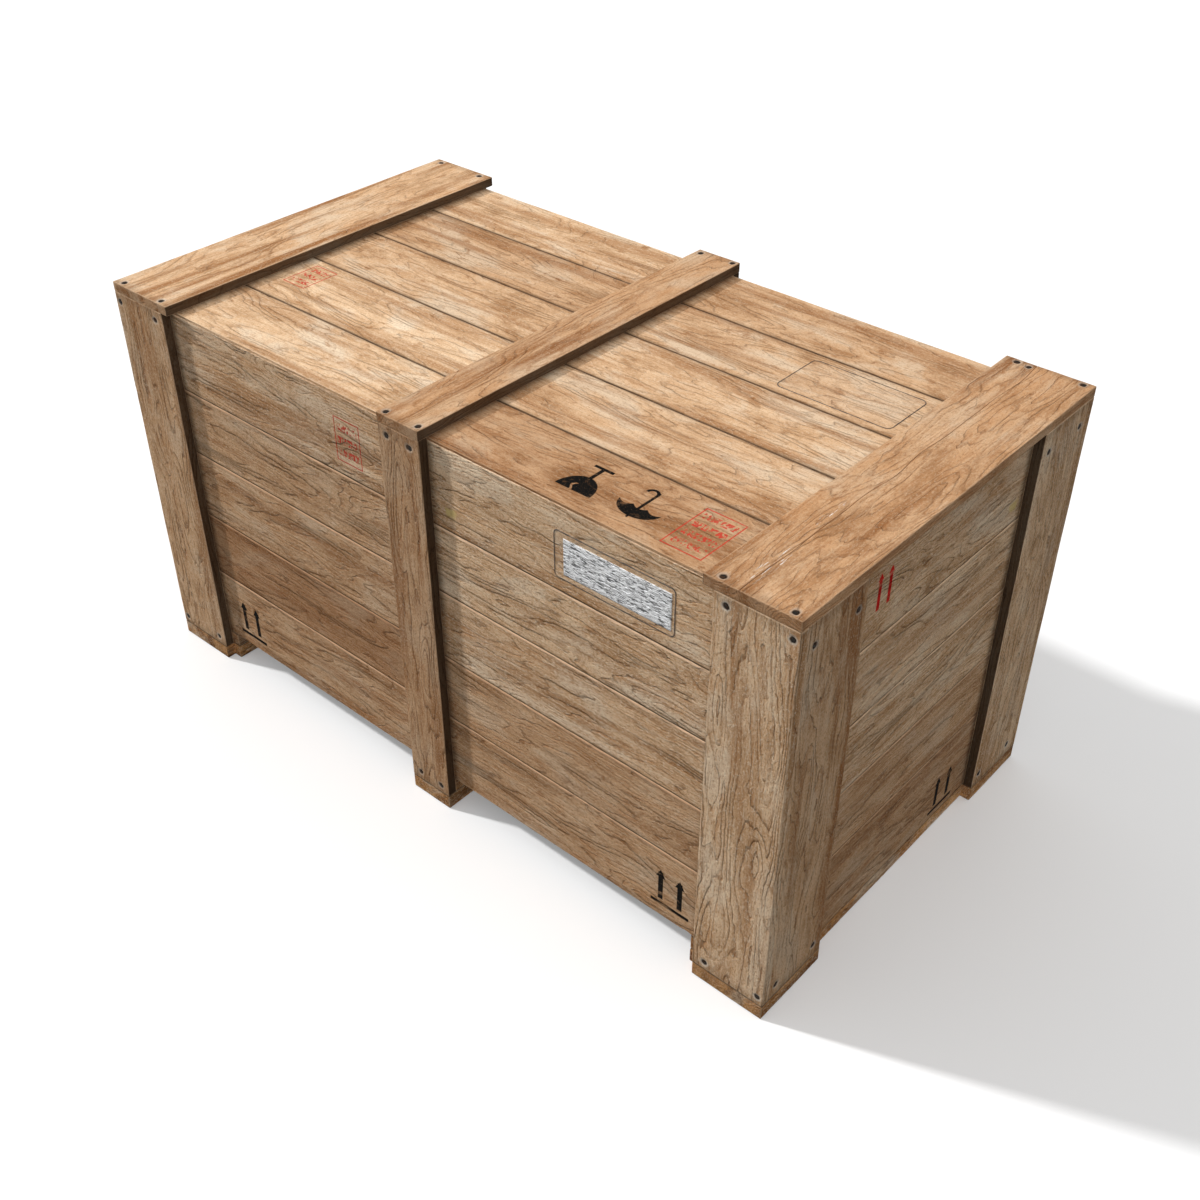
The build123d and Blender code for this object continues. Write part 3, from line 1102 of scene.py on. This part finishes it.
    def _paint_shade(self) -> None:
        """Paints shade on a runner's top edge, on a batten's inner sides and on a board along its battens.
        """
        timber, shade_colour = self.timber, self.wood.shade_colour
        if timber.slot is Slot.RUNNER:
            # painted shade along the runner's top edge, under its bearer
            self._lay((self.half[2] - self.w + self.noise["smudge"] * 3.0).fall(2.0, 4.4) * 0.8, shade_colour)
        # painted shade on a batten's inner sides
        for side in timber.shaded_sides:
            facing = (self.v * side).rise(self.half[1] - 1.6, self.half[1] - 0.7) * self.dw.rise(0.3, 1.5)
            self._lay(facing * (0.88 + 0.06 * math.sin(timber.seed)), shade_colour)
        # painted shade on a board beside each batten's edge
        for reach in timber.shaded:
            gap = abs(abs(self.at[timber.grain.value]) - reach)
            shade = (gap + self.noise["patchy"] * 8.0).fall(1.0, 19.0) * self.outer
            self._lay(shade * 0.70, shade_colour)

    def _nail_rims(self) -> None:
        """Rubs the wood pale round its nails, and darkens the dent round each head with rust and painted
        shade.
        """
        attribute = {"attribute_name": "nail_reach"}
        reach = self.recipe.node("ShaderNodeAttribute", attribute, {}, "Fac") * NAIL_REACH
        self._lay((reach + self.noise["smudge"] * 2.0).fall(6.2, 9.5) * 0.55, self.wood.nail_rim)
        # rust and painted shade in the dent round the head
        self._lay((reach + self.noise["patchy"] * 1.6).fall(4.4, 6.2) * 0.88, self.wood.nail_rust_shade)

    def _tone(self) -> None:
        """Sets how dark each half of the piece is, warmer as it darkens."""
        left, right = self.timber.tones
        tint: Link | Colour = tuple(left**power for power in self.WARMTH)
        if left != right:
            tone = left + self.u.rise(-self.TONE_TURN, self.TONE_TURN) * (right - left)
            parts = {0: tone, 1: tone ** self.WARMTH[1], 2: tone ** self.WARMTH[2]}
            tint = self.recipe.node("ShaderNodeCombineColor", {}, parts)
        self.colour = self.recipe.mix(1.0, self.colour, tint, "MULTIPLY")

    def _paint(self) -> Link | None:
        """Lays the marks, thinner where the paint has worn.

        Returns:
            Where there is paint, or None if there are no marks.
        """
        across, up = (self.at[axis.value] for axis in Axis if axis is not self.timber.flat)
        worn = self.noise["smudge"].fall(0.54, 0.70) * self.noise["specks"].fall(0.56, 0.80) * 0.55 + 0.45
        paint = None
        for mark in self.timber.marks:
            cover = mark.cover(self.recipe, (across, up), worn) * self.outer
            self._lay(cover, mark.colour)
            paint = cover if paint is None else paint.most(cover)
        return paint

    def make(self, nailed: bool) -> bpy.types.Material:
        """Lays every coat.

        Args:
            nailed: True if nail heads show on the piece.

        Returns:
            The material.
        """
        self._rings()
        self._coats()
        self._edges()
        if self.timber.slot is Slot.BOARD:
            self._seams()
        self._paint_shade()
        if nailed:
            self._nail_rims()
        self._tone()
        paint = self._paint()
        noise = self.noise
        rough = self.wood.rough + noise["strands"] * 0.16 - noise["late"] * 0.08 + noise["smudge"] * 0.10
        if paint is not None:
            rough = rough + paint * 0.15
        height = noise["patchy"] * 0.8 - noise["late"] * 0.45 - noise["crest"] * 1.1
        height = height - noise["fibre"] * 0.2 - noise["strands"] * 0.75
        height = height - noise["grit"] * 1.6 - noise["pores"] * 0.25
        shader = {"Base Color": self.colour, "Roughness": rough, "Specular IOR Level": 0.06}
        return self.recipe.finish(shader, height, self.wood.relief)


# ---- Nails -------------------------------------------------------------------------------------


@dataclass
class NailGroup:
    """All the nails of one kind, with struck heads."""

    node: str
    body: str = "crate"
    head: float = 3.45
    shank: float = 1.45
    thick: float = 1.15
    tip: float = 4.0
    sides: int = 20
    spots: list[NailSpot] = field(init=False)

    SHARP = math.radians(60)

    def __post_init__(self) -> None:
        """Finds every nail in the CAD node: its axis, its head's middle and its length."""
        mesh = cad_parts[self.node].data
        flat = np.empty(len(mesh.vertices) * 3)
        mesh.vertices.foreach_get("co", flat)
        points, same = np.unique(np.round(flat.reshape(-1, 3) / MM, 3), axis=0, return_inverse=True)
        same = same.ravel()
        ends = np.empty(len(mesh.edges) * 2, int)
        mesh.edges.foreach_get("vertices", ends)
        one, other = same[ends.reshape(-1, 2)].T
        group = np.arange(len(points))
        while True:
            lowest = group.copy()
            np.minimum.at(lowest, one, group[other])
            np.minimum.at(lowest, other, group[one])
            if (lowest == group).all():
                break
            group = lowest
        self.spots = [self._spot(points[group == number]) for number in np.unique(group)]

    @staticmethod
    def _spot(points: Array) -> NailSpot:
        """One nail, from its points: its head is at the end where it is widest."""
        low, high = points.min(0), points.max(0)
        axis = int(np.argmax(high - low))
        middle = (low + high) / 2
        wide = np.linalg.norm(np.delete(points - middle, axis, 1), axis=1)
        facing = 1 if points[wide > wide.max() - 0.2, axis].mean() > middle[axis] else -1
        middle[axis] = high[axis] if facing > 0 else low[axis]
        return NailSpot(tuple(float(part) for part in middle), axis, facing, float((high - low)[axis]))

    def _profile(self, spot: NailSpot) -> list[tuple[float, float]]:
        """A nail's outline, as radius and depth below the top of its head."""
        return [
            (self.head * 0.35, 0.10),
            (self.head * 0.7, 0.05),
            (self.head * 0.9, 0.12),
            (self.head, 0.34),
            (self.head, self.thick * 0.7),
            (self.head * 0.86, self.thick),
            (self.shank * 1.25, self.thick),
            (self.shank, self.thick + 0.6),
            (self.shank, spot.long - self.tip),
            (self.shank * 0.25, spot.long - 0.1),
        ]

    def build(self) -> bpy.types.Object:
        """Makes the whole group as one piece.

        Returns:
            The finished object.
        """
        work = bmesh.new()
        draw = np.random.default_rng(len(self.spots) + 5)
        for spot in self.spots:
            self._add_nail(work, spot, draw)
        bmesh.ops.recalc_face_normals(work, faces=work.faces)
        mesh = finished(work, self.node + "_iron")
        mesh.shade_smooth()
        mesh.set_sharp_from_angle(angle=self.SHARP)
        mesh.materials.append(Iron().make(self.node + "_steel"))
        return place_piece(self.node, mesh, self.body, [self.node])

    def _add_nail(self, work: bmesh.types.BMesh, spot: NailSpot, draw: np.random.Generator) -> None:
        """Adds one nail as rings round its axis, with a dimple where the hammer struck.

        Args:
            work: The mesh to add it to.
            spot: Where it is.
            draw: Gives each head its own wear.
        """
        sides, rings = [axis for axis in range(3) if axis != spot.axis], []
        turn, dimple = draw.uniform(0, 6.28), draw.uniform(0.05, 0.22)
        flats = draw.uniform(0, 0.16, 2)

        def put(radius: float, depth: float, angle: float) -> bmesh.types.BMVert:
            """A point of the nail."""
            place = list(spot.place)
            worn = flats[0] * max(0, math.sin(angle + turn)) * (radius > self.shank * 2) * 0.5
            bent = radius * (1 - worn)
            place[sides[0]] += bent * math.cos(angle)
            place[sides[1]] += bent * math.sin(angle)
            place[spot.axis] -= spot.facing * depth
            return work.verts.new([part * MM for part in place])

        for radius, depth in self._profile(spot):
            sunk = dimple * (1 - (radius / self.head) ** 2) if depth < 0.3 else 0.0
            rings.append(
                [put(radius, depth + sunk, 2 * math.pi * side / self.sides) for side in range(self.sides)]
            )
        top, point = put(0, 0.12 + dimple, 0), put(0, spot.long, 0)
        for side in range(self.sides):
            after = (side + 1) % self.sides
            work.faces.new([top, rings[0][side], rings[0][after]])
            work.faces.new([point, rings[-1][after], rings[-1][side]])
            for one, other in zip(rings, rings[1:]):
                work.faces.new([one[side], other[side], other[after], one[after]])


# ---- Label and pouches -------------------------------------------------------------------------


@dataclass
class LabelCard:
    """A crinkled foil card behind the front pouch."""

    node: str = "label_card"
    step: float = 1.5
    crinkle: float = 0.55

    def build(self) -> bpy.types.Object:
        """Makes the card: a thin sheet with creases, closed at the back.

        Returns:
            The finished object.
        """
        low, high = (np.array(corner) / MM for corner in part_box(self.node))
        across = np.linspace(low[0], high[0], round((high[0] - low[0]) / self.step) + 1)
        up = np.linspace(low[2], high[2], round((high[2] - low[2]) / self.step) + 1)
        x, z = np.meshgrid(across, up, indexing="ij")
        crease = Wander(41, 7.0, 9)(x.ravel() * 0.35, z.ravel() * 1.6).reshape(x.shape)
        fine = Wander(42, 2.6, 9)(x.ravel() * 0.6, z.ravel() * 1.5).reshape(x.shape)
        rim = np.minimum.reduce([x - low[0], high[0] - x, z - low[2], high[2] - z])
        lift = self.crinkle * smooth_step(rim / 5.0) * (np.clip(crease, -1, 1) * 0.6 + fine * 0.3 + 0.6)
        shape = x.shape
        front = np.stack([x, np.full(shape, low[1]) - np.clip(lift, 0, 1.1), z], -1)
        back = np.stack([x, np.full(shape, high[1] - 0.02), z], -1)
        work = bmesh.new()
        sheets = [
            [[work.verts.new(point) for point in row] for row in (sheet * MM).tolist()]
            for sheet in (front, back)
        ]
        for sheet in sheets:
            for i in range(shape[0] - 1):
                for j in range(shape[1] - 1):
                    work.faces.new([sheet[i][j], sheet[i + 1][j], sheet[i + 1][j + 1], sheet[i][j + 1]])
        bound = [(i, 0) for i in range(shape[0])] + [(shape[0] - 1, j) for j in range(1, shape[1])]
        bound += [(i, shape[1] - 1) for i in range(shape[0] - 2, -1, -1)]
        bound += [(0, j) for j in range(shape[1] - 2, 0, -1)]
        for (i, j), (m, n) in zip(bound, bound[1:] + bound[:1]):
            work.faces.new([sheets[0][i][j], sheets[0][m][n], sheets[1][m][n], sheets[1][i][j]])
        bmesh.ops.recalc_face_normals(work, faces=work.faces)
        mesh = finished(work, self.node + "_sheet")
        mesh.shade_smooth()
        mesh.materials.append(Foil().make("crinkled_foil"))
        return place_piece(self.node, mesh, "crate", [self.node])


@dataclass
class Pouch:
    """A clear pouch stuck on a board: slack film inside a pressed rim."""

    node: str
    flat: Axis
    facing: int
    body: str
    corner: float
    puff: float
    rim_wide: float = 1.7
    rim_high: float = 0.7

    CORNER_STEPS = 8
    EDGE_STEP = 6.0
    WELT = ((0.0, 0.02), (0.25, 0.75), (0.5, 1.0), (0.75, 0.75), (1.0, 0.3))
    FILM_RINGS = (2.0, 6.0, 12.0, 20.0)

    def _outline(self, wide: float, tall: float, inset: float) -> list[tuple[float, float]]:
        """Points round a rounded rectangle about its middle, as many at any inset."""
        steps = self.CORNER_STEPS
        arcs = []
        radius = max(self.corner - inset, 0.6)
        for quarter, (side, up) in enumerate(((1, 1), (-1, 1), (-1, -1), (1, -1))):
            centre = side * (wide / 2 - inset - radius), up * (tall / 2 - inset - radius)
            angles = [math.pi / 2 * (quarter + step / steps) for step in range(steps + 1)]
            arcs.append(
                [(centre[0] + radius * math.cos(t), centre[1] + radius * math.sin(t)) for t in angles]
            )
        points = []
        for arc, after, side in zip(arcs, arcs[1:] + arcs[:1], (wide, tall, wide, tall)):
            (a, b), (c, d), parts = arc[-1], after[0], round(side / self.EDGE_STEP)
            points += arc[:-1]
            points += [(a + (c - a) * part / parts, b + (d - b) * part / parts) for part in range(parts)]
        return points

    def build(self) -> bpy.types.Object:
        """Makes the pouch.

        Returns:
            The finished object.
        """
        low, high = (np.array(corner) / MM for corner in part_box(self.node))
        sides = [axis.value for axis in Axis if axis is not self.flat]
        middle, size = (low + high) / 2, high - low
        wide, tall = float(size[sides[0]]), float(size[sides[1]])
        base = float(low[self.flat.value] if self.facing > 0 else high[self.flat.value])
        slack = Wander(77, 34.0, 6)
        work = bmesh.new()
        rings = []
        profile = [(share * self.rim_wide, part * self.rim_high) for share, part in self.WELT]
        profile += [(self.rim_wide + extra, 0.0) for extra in self.FILM_RINGS]
        for inset, height in profile:
            ring = []
            for a, b in self._outline(wide, tall, inset):
                lift = height
                if inset > self.rim_wide:
                    grown = smooth_step(np.array([(inset - self.rim_wide) / 7.0]))[0]
                    lift = 0.2 + self.puff * grown * (1 + 0.35 * float(slack(np.array([a]), b * 1.7)[0]))
                place = [0.0, 0.0, 0.0]
                place[sides[0]], place[sides[1]] = middle[sides[0]] + a, middle[sides[1]] + b
                place[self.flat.value] = base + self.facing * lift
                ring.append(work.verts.new([part * MM for part in place]))
            rings.append(ring)
        for number, (one, other) in enumerate(zip(rings, rings[1:])):
            for k in range(len(one)):
                after = (k + 1) % len(one)
                face = work.faces.new([one[k], one[after], other[after], other[k]])
                face.material_index = 0 if number < len(self.WELT) - 1 else 1
        inner = work.faces.new(rings[-1])
        inner.material_index = 1
        bmesh.ops.recalc_face_normals(work, faces=work.faces)
        mesh = finished(work, self.node + "_film")
        mesh.shade_smooth()
        mesh.materials.append(Welt().make(self.node + "_rim"))
        mesh.materials.append(Film().make(self.node + "_clear"))
        return place_piece(self.node, mesh, self.body, [self.node])


# ---- Sub-assemblies ----------------------------------------------------------------------------

OVER = 1.0
# each lid batten's place and its sides that get painted shade
BATTEN_SIDES = (("left", (1,)), ("middle", (-1, 1)), ("right", (-1,)))


def seam_side(number: int, count: int) -> int:
    """The one side of a row's first or last board that has a seam, or 0 for a board with two."""
    return {1: 1, count: -1}.get(number, 0)


@dataclass
class Wall:
    """A wall: boards along it and upright battens outside them."""

    name: str
    facing: int
    seed: int
    marks: dict[int, Sequence[Mark]] = field(default_factory=dict)

    GRAIN: ClassVar[Axis] = Axis.X
    FLAT: ClassVar[Axis] = Axis.Y
    TONES: ClassVar[Sequence[tuple[float, float]]]
    # BATTENS: place, the sides that get painted shade, wood and tone
    BATTENS: ClassVar[Sequence[tuple[str, tuple[int, ...], Wood, float]]]
    BATTEN_EDGES: ClassVar[Sequence[float]]

    def _checks(self, number: int) -> Sequence[Check]:
        """The drying cracks in a batten."""
        return ()

    def timbers(self) -> list[Timber]:
        """The wall's pieces."""
        pieces = []
        for number, tones in enumerate(self.TONES, 1):
            name = f"{self.name}_board_{number}"
            board = Timber(name, self.GRAIN, self.FLAT, self.facing, BOARD, Slot.BOARD)
            board.tones, board.seed = tones, self.seed + number
            board.marks = self.marks.get(number, ())
            board.shaded = self.BATTEN_EDGES
            board.clean = seam_side(number, len(self.TONES))
            pieces.append(board)
        for number, (place, shaded_sides, wood, tone) in enumerate(self.BATTENS):
            name = f"{self.name}_{place}_batten"
            batten = Timber(name, Axis.Z, self.FLAT, self.facing, wood, Slot.BATTEN)
            batten.tones, batten.seed = (tone, tone), self.seed + 6 + number
            batten.shaded_sides, batten.checks = shaded_sides, self._checks(number)
            pieces.append(batten)
        return pieces


@dataclass
class SideWall(Wall):
    """A long wall, with three battens."""

    TONES = ((0.81, 0.84), (0.64, 0.83), (0.85, 1.02), (0.88, 1.09), (0.98, 1.07))
    BATTENS = (
        ("left", (1,), BATTEN, 0.92),
        ("middle", (-1, 1), BATTEN, 0.77),
        ("right", (-1,), BATTEN, 1.06),
    )
    BATTEN_EDGES = (488.0, 37.5)

    def _checks(self, number: int) -> Sequence[Check]:
        """A short crack up from each batten's foot."""
        return (Check(30.0 + 22 * number, -1, 90.0 + 40 * number, 3.0, 0.8, self.facing),)


@dataclass
class EndWall(Wall):
    """A short wall, with two battens."""

    GRAIN = Axis.Y
    FLAT = Axis.X
    TONES = tuple((tone, tone) for tone in (0.77, 0.90, 1.08, 1.13, 1.07))
    BATTENS = (("front", (1,), STRIPED, 0.95), ("back", (-1,), BATTEN, 1.10))
    BATTEN_EDGES = (195.0,)


@dataclass
class Lid:
    """Five rebated boards under three battens, which lift off together."""

    seed: int
    marks: dict[int, Sequence[Mark]] = field(default_factory=dict)

    TONES = ((1.03, 0.70), (1.06, 0.90), (0.92, 0.94), (0.83, 0.88), (0.98, 0.84))
    BATTEN_TONES = (0.93, 0.76, 0.76)
    BATTEN_EDGES = (473.0, 37.5)
    LIP = 15.5
    REBATE = 11.0
    SPLIT = Check(47.0, -1, 1.0, 5.0, 1.1, 1, True)
    SCUFFS = (
        Scratches(519.0, -262.0, SCRATCH),
        Scratches(512.0, -150.0, SCRATCH, wide=6.0),
    )

    def _rebates(self, number: int) -> list[Bite]:
        """Where a board is cut back underneath, to drop between the walls."""
        low, high = (np.array(corner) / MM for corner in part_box(f"lid_board_{number}"))
        long, wide = float(high[0] - low[0]), float(high[1] - low[1])
        whole_long, whole_wide = (-OVER, long + OVER), (-OVER, wide + OVER)
        bites = [
            Bite((-OVER, self.LIP), self.REBATE, across=whole_wide),
            Bite((long - self.LIP, long + OVER), self.REBATE, across=whole_wide),
        ]
        if number == 1:
            bites.append(Bite(whole_long, self.REBATE, across=(-OVER, self.LIP)))
        if number == len(self.TONES):
            bites.append(Bite(whole_long, self.REBATE, across=(wide - self.LIP, wide + OVER)))
        return bites

    def timbers(self) -> list[Timber]:
        """The lid's pieces."""
        pieces = []
        for number, tones in enumerate(self.TONES, 1):
            board = Timber(f"lid_board_{number}", Axis.X, Axis.Z, 1, LID_BOARD, Slot.BOARD, "lid")
            board.tones, board.seed = tones, self.seed + number
            board.bites, board.marks = self._rebates(number), self.marks.get(number, ())
            board.shaded = self.BATTEN_EDGES
            board.clean = seam_side(number, len(self.TONES))
            pieces.append(board)
        for number, (place, shaded_sides) in enumerate(BATTEN_SIDES):
            batten = Timber(f"lid_{place}_batten", Axis.Y, Axis.Z, 1, LID_BATTEN, Slot.BATTEN, "lid")
            batten.tones, batten.seed = (self.BATTEN_TONES[number],) * 2, self.seed + 6 + number
            batten.shaded_sides = shaded_sides
            if place == "right":
                batten.checks, batten.marks = (self.SPLIT,), self.SCUFFS
            pieces.append(batten)
        return pieces


@dataclass
class Base:
    """Runners, bearers above them, and the floor."""

    seed: int

    NOTCH = 15.0
    BOARD_FACE = 307.0
    BATTEN_EDGE = 195.0
    DEPTH = 644.0

    def _notches(self, outer: int) -> list[Bite]:
        """Where an outer runner is cut back to stay under the battens."""
        half = self.DEPTH / 2
        bites = [Bite((half - self.BATTEN_EDGE, half + self.BATTEN_EDGE), self.NOTCH, outer)]
        for reach in ((-OVER, half - self.BOARD_FACE), (half + self.BOARD_FACE, self.DEPTH + OVER)):
            bites.append(Bite(reach, self.NOTCH, -outer))
        return bites

    def timbers(self) -> list[Timber]:
        """The base's pieces."""
        pieces = []
        for number, (place, outer) in enumerate((("left", -1), ("middle", 0), ("right", 1))):
            runner = Timber(f"{place}_runner", Axis.Y, Axis.Z, -1, RUNNER, Slot.RUNNER)
            runner.tones, runner.seed, runner.easing = (1.05, 1.05), self.seed + number, 1.2
            runner.bites = self._notches(outer) if outer else ()
            bearer = Timber(f"{place}_bearer", Axis.Y, Axis.Z, -1, RUNNER, Slot.RUNNER)
            bearer.seed, bearer.step = self.seed + 3 + number, (16.0, 10.0)
            pieces += [runner, bearer]
        for number in range(1, 6):
            board = Timber(f"floor_board_{number}", Axis.X, Axis.Z, 1, INNER, Slot.BOARD)
            board.seed, board.step = self.seed + 6 + number, (18.0, 12.0)
            pieces.append(board)
        return pieces


# ---- Stage -------------------------------------------------------------------------------------


@dataclass
class Stage:
    """The pale floor, the soft light and the camera."""

    floor_half: float = 15.0
    floor_drop: float = 0.0005
    floor_colour: Colour = (0.93, 0.93, 0.93)
    sun_way: tuple[float, float, float] = (0.812, 0.31, -0.6375)
    sun_power: float = 2.35
    sun_angle: float = 3.4
    fill_way: tuple[float, float, float] = (-0.32, 0.40, -0.86)
    fill_power: float = 0.85
    fill_angle: float = 30.0
    sky: float = 0.86
    sky_curve: float = 0.5
    eye: tuple[float, float, float] = (1.204598, -1.316302, 1.533562)
    look: tuple[float, float, float] = (-0.52636, 0.59844, -0.60400)
    lens: float = 43.70
    sensor: float = 36.0
    farthest: float = 100.0

    def build(self) -> None:
        """Makes the floor, the sun, the fill light, the sky and the camera."""
        self._floor()
        self._lamp("sun", self.sun_way, self.sun_power, self.sun_angle, True)
        self._lamp("fill", self.fill_way, self.fill_power, self.fill_angle, False)
        self._sky()
        camera = bpy.data.cameras.new("camera")
        camera.lens = self.lens
        camera.sensor_width = self.sensor
        camera.clip_end = self.farthest
        seat = bpy.data.objects.new("camera", camera)
        seat.location = self.eye
        seat.rotation_euler = Vector(self.look).to_track_quat("-Z", "Y").to_euler()
        bpy.context.scene.collection.objects.link(seat)
        bpy.context.scene.camera = seat
        bpy.context.scene.view_settings.view_transform = "Standard"

    def _floor(self) -> None:
        """A plain pale floor that doesn't throw light back up."""
        work = bmesh.new()
        reach = self.floor_half
        corners = ((-1, -1), (1, -1), (1, 1), (-1, 1))
        work.faces.new([work.verts.new((x * reach, y * reach, 0.0)) for x, y in corners])
        mesh = finished(work, "floor")
        recipe = Recipe("pale_floor")
        mesh.materials.append(recipe.finish({"Base Color": self.floor_colour, "Roughness": 0.9}, None))
        floor = bpy.data.objects.new("floor", mesh)
        floor.visible_diffuse = False
        floor.location.z = -self.floor_drop
        bpy.context.scene.collection.objects.link(floor)

    def _lamp(
        self, name: str, way: tuple[float, float, float], power: float, spread: float, shadows: bool
    ) -> None:
        """Adds a far lamp.

        Args:
            name: Its name.
            way: The way that its light travels.
            power: Its strength.
            spread: Its width in degrees.
            shadows: True if it casts shadows.
        """
        light = bpy.data.lights.new(name, "SUN")
        light.energy = power
        light.angle = math.radians(spread)
        light.use_shadow = shadows
        lamp = bpy.data.objects.new(name, light)
        lamp.rotation_euler = Vector(way).to_track_quat("-Z", "Y").to_euler()
        bpy.context.scene.collection.objects.link(lamp)

    def _sky(self) -> None:
        """A sky that is brightest overhead and plain white where it is seen."""
        world = bpy.data.worlds.new("sky")
        bpy.context.scene.world = world
        recipe = Recipe.on(world)
        place = recipe.node("ShaderNodeTexCoord", {}, {}, "Generated")
        up = recipe.node("ShaderNodeSeparateXYZ", {}, {0: place}, "Z")
        light = up.most(0.0) ** self.sky_curve * self.sky
        seen = recipe.node("ShaderNodeLightPath", {}, {}, "Is Camera Ray")
        parts = {"Factor": seen, "A": light, "B": 1.0}
        strength = recipe.node("ShaderNodeMix", {}, parts, "Result")
        back = recipe.node("ShaderNodeBackground", {}, {"Strength": strength})
        output = recipe.tree.nodes.new("ShaderNodeOutputWorld")
        recipe.tree.links.new(back.socket, output.inputs["Surface"])


# ---- The crate ---------------------------------------------------------------------------------

RED_ARROWS: dict[str, float] = {"pitch": 22.0, "tall": 52.0, "bar": 0.0, "shaft": 3.3, "head": 6.0}
FRONT_MARKS: dict[int, Sequence[Mark]] = {
    1: (TwinArrows(-423.5, 105.0), TwinArrows(436.5, 107.0)),
    5: (
        WordBlock(-120.0, 551.5, RED_PAINT, wide=50.0, tall=67.0),
        ResinSpot(69.5, 526.5, RESIN),
    ),
}
BACK_MARKS: dict[int, Sequence[Mark]] = {
    1: (TwinArrows(-423.5, 105.0), TwinArrows(436.5, 107.0)),
    5: (WordBlock(130.0, 551.5, RED_PAINT, wide=50.0, tall=67.0),),
}
RIGHT_MARKS: dict[int, Sequence[Mark]] = {
    1: (TwinArrows(125.0, 72.0),),
    5: (
        TwinArrows(-132.0, 566.5, BRIGHT_RED, **RED_ARROWS),
        ResinSpot(173.0, 523.5, RESIN),
    ),
}
LEFT_MARKS: dict[int, Sequence[Mark]] = {
    1: (TwinArrows(-125.0, 72.0),),
    5: (TwinArrows(132.0, 566.5, BRIGHT_RED, **RED_ARROWS),),
}
LID_MARKS: dict[int, Sequence[Mark]] = {
    1: (
        Goblet(247.5, -247.5, flip=-1),
        Umbrella(330.0, -245.5, flip=-1),
        WordBlock(417.0, -247.0, RED_PAINT, -1, wide=58.0, tall=86.0, rows=4),
    ),
    2: (WordBlock(-425.0, -105.5, RED_PAINT, -1, wide=46.0, tall=65.0),),
}
NAIL_GROUPS = {
    "side_batten_nails": "crate",
    "end_batten_nails": "crate",
    "wall_board_nails": "crate",
    "floor_nails": "crate",
    "runner_nails": "crate",
    "lid_batten_nails": "lid",
    "lid_board_nails": "lid",
}


def main() -> None:
    """Builds the crate piece by piece and reports each one."""
    logging.basicConfig(level=logging.INFO, format="%(name)s: %(message)s")
    groups = [NailGroup(node, body) for node, body in NAIL_GROUPS.items()]
    spots = [spot for group in groups for spot in group.spots]
    assemblies = [
        SideWall("front", -1, 100, FRONT_MARKS),
        SideWall("back", 1, 120, BACK_MARKS),
        EndWall("right_end", 1, 140, RIGHT_MARKS),
        EndWall("left_end", -1, 160, LEFT_MARKS),
        Lid(180, LID_MARKS),
        Base(200),
    ]
    for assembly in assemblies:
        for timber in assembly.timbers():
            timber.build(spots)
    for group in groups:
        group.build()
    LabelCard().build()
    Pouch("label_pouch", Axis.Y, -1, "crate", 7.0, 0.9).build()
    Pouch("lid_pouch", Axis.Z, 1, "lid", 10.0, 0.15, rim_wide=1.5, rim_high=0.55).build()
    Stage().build()


if __name__ == "__main__":
    main()
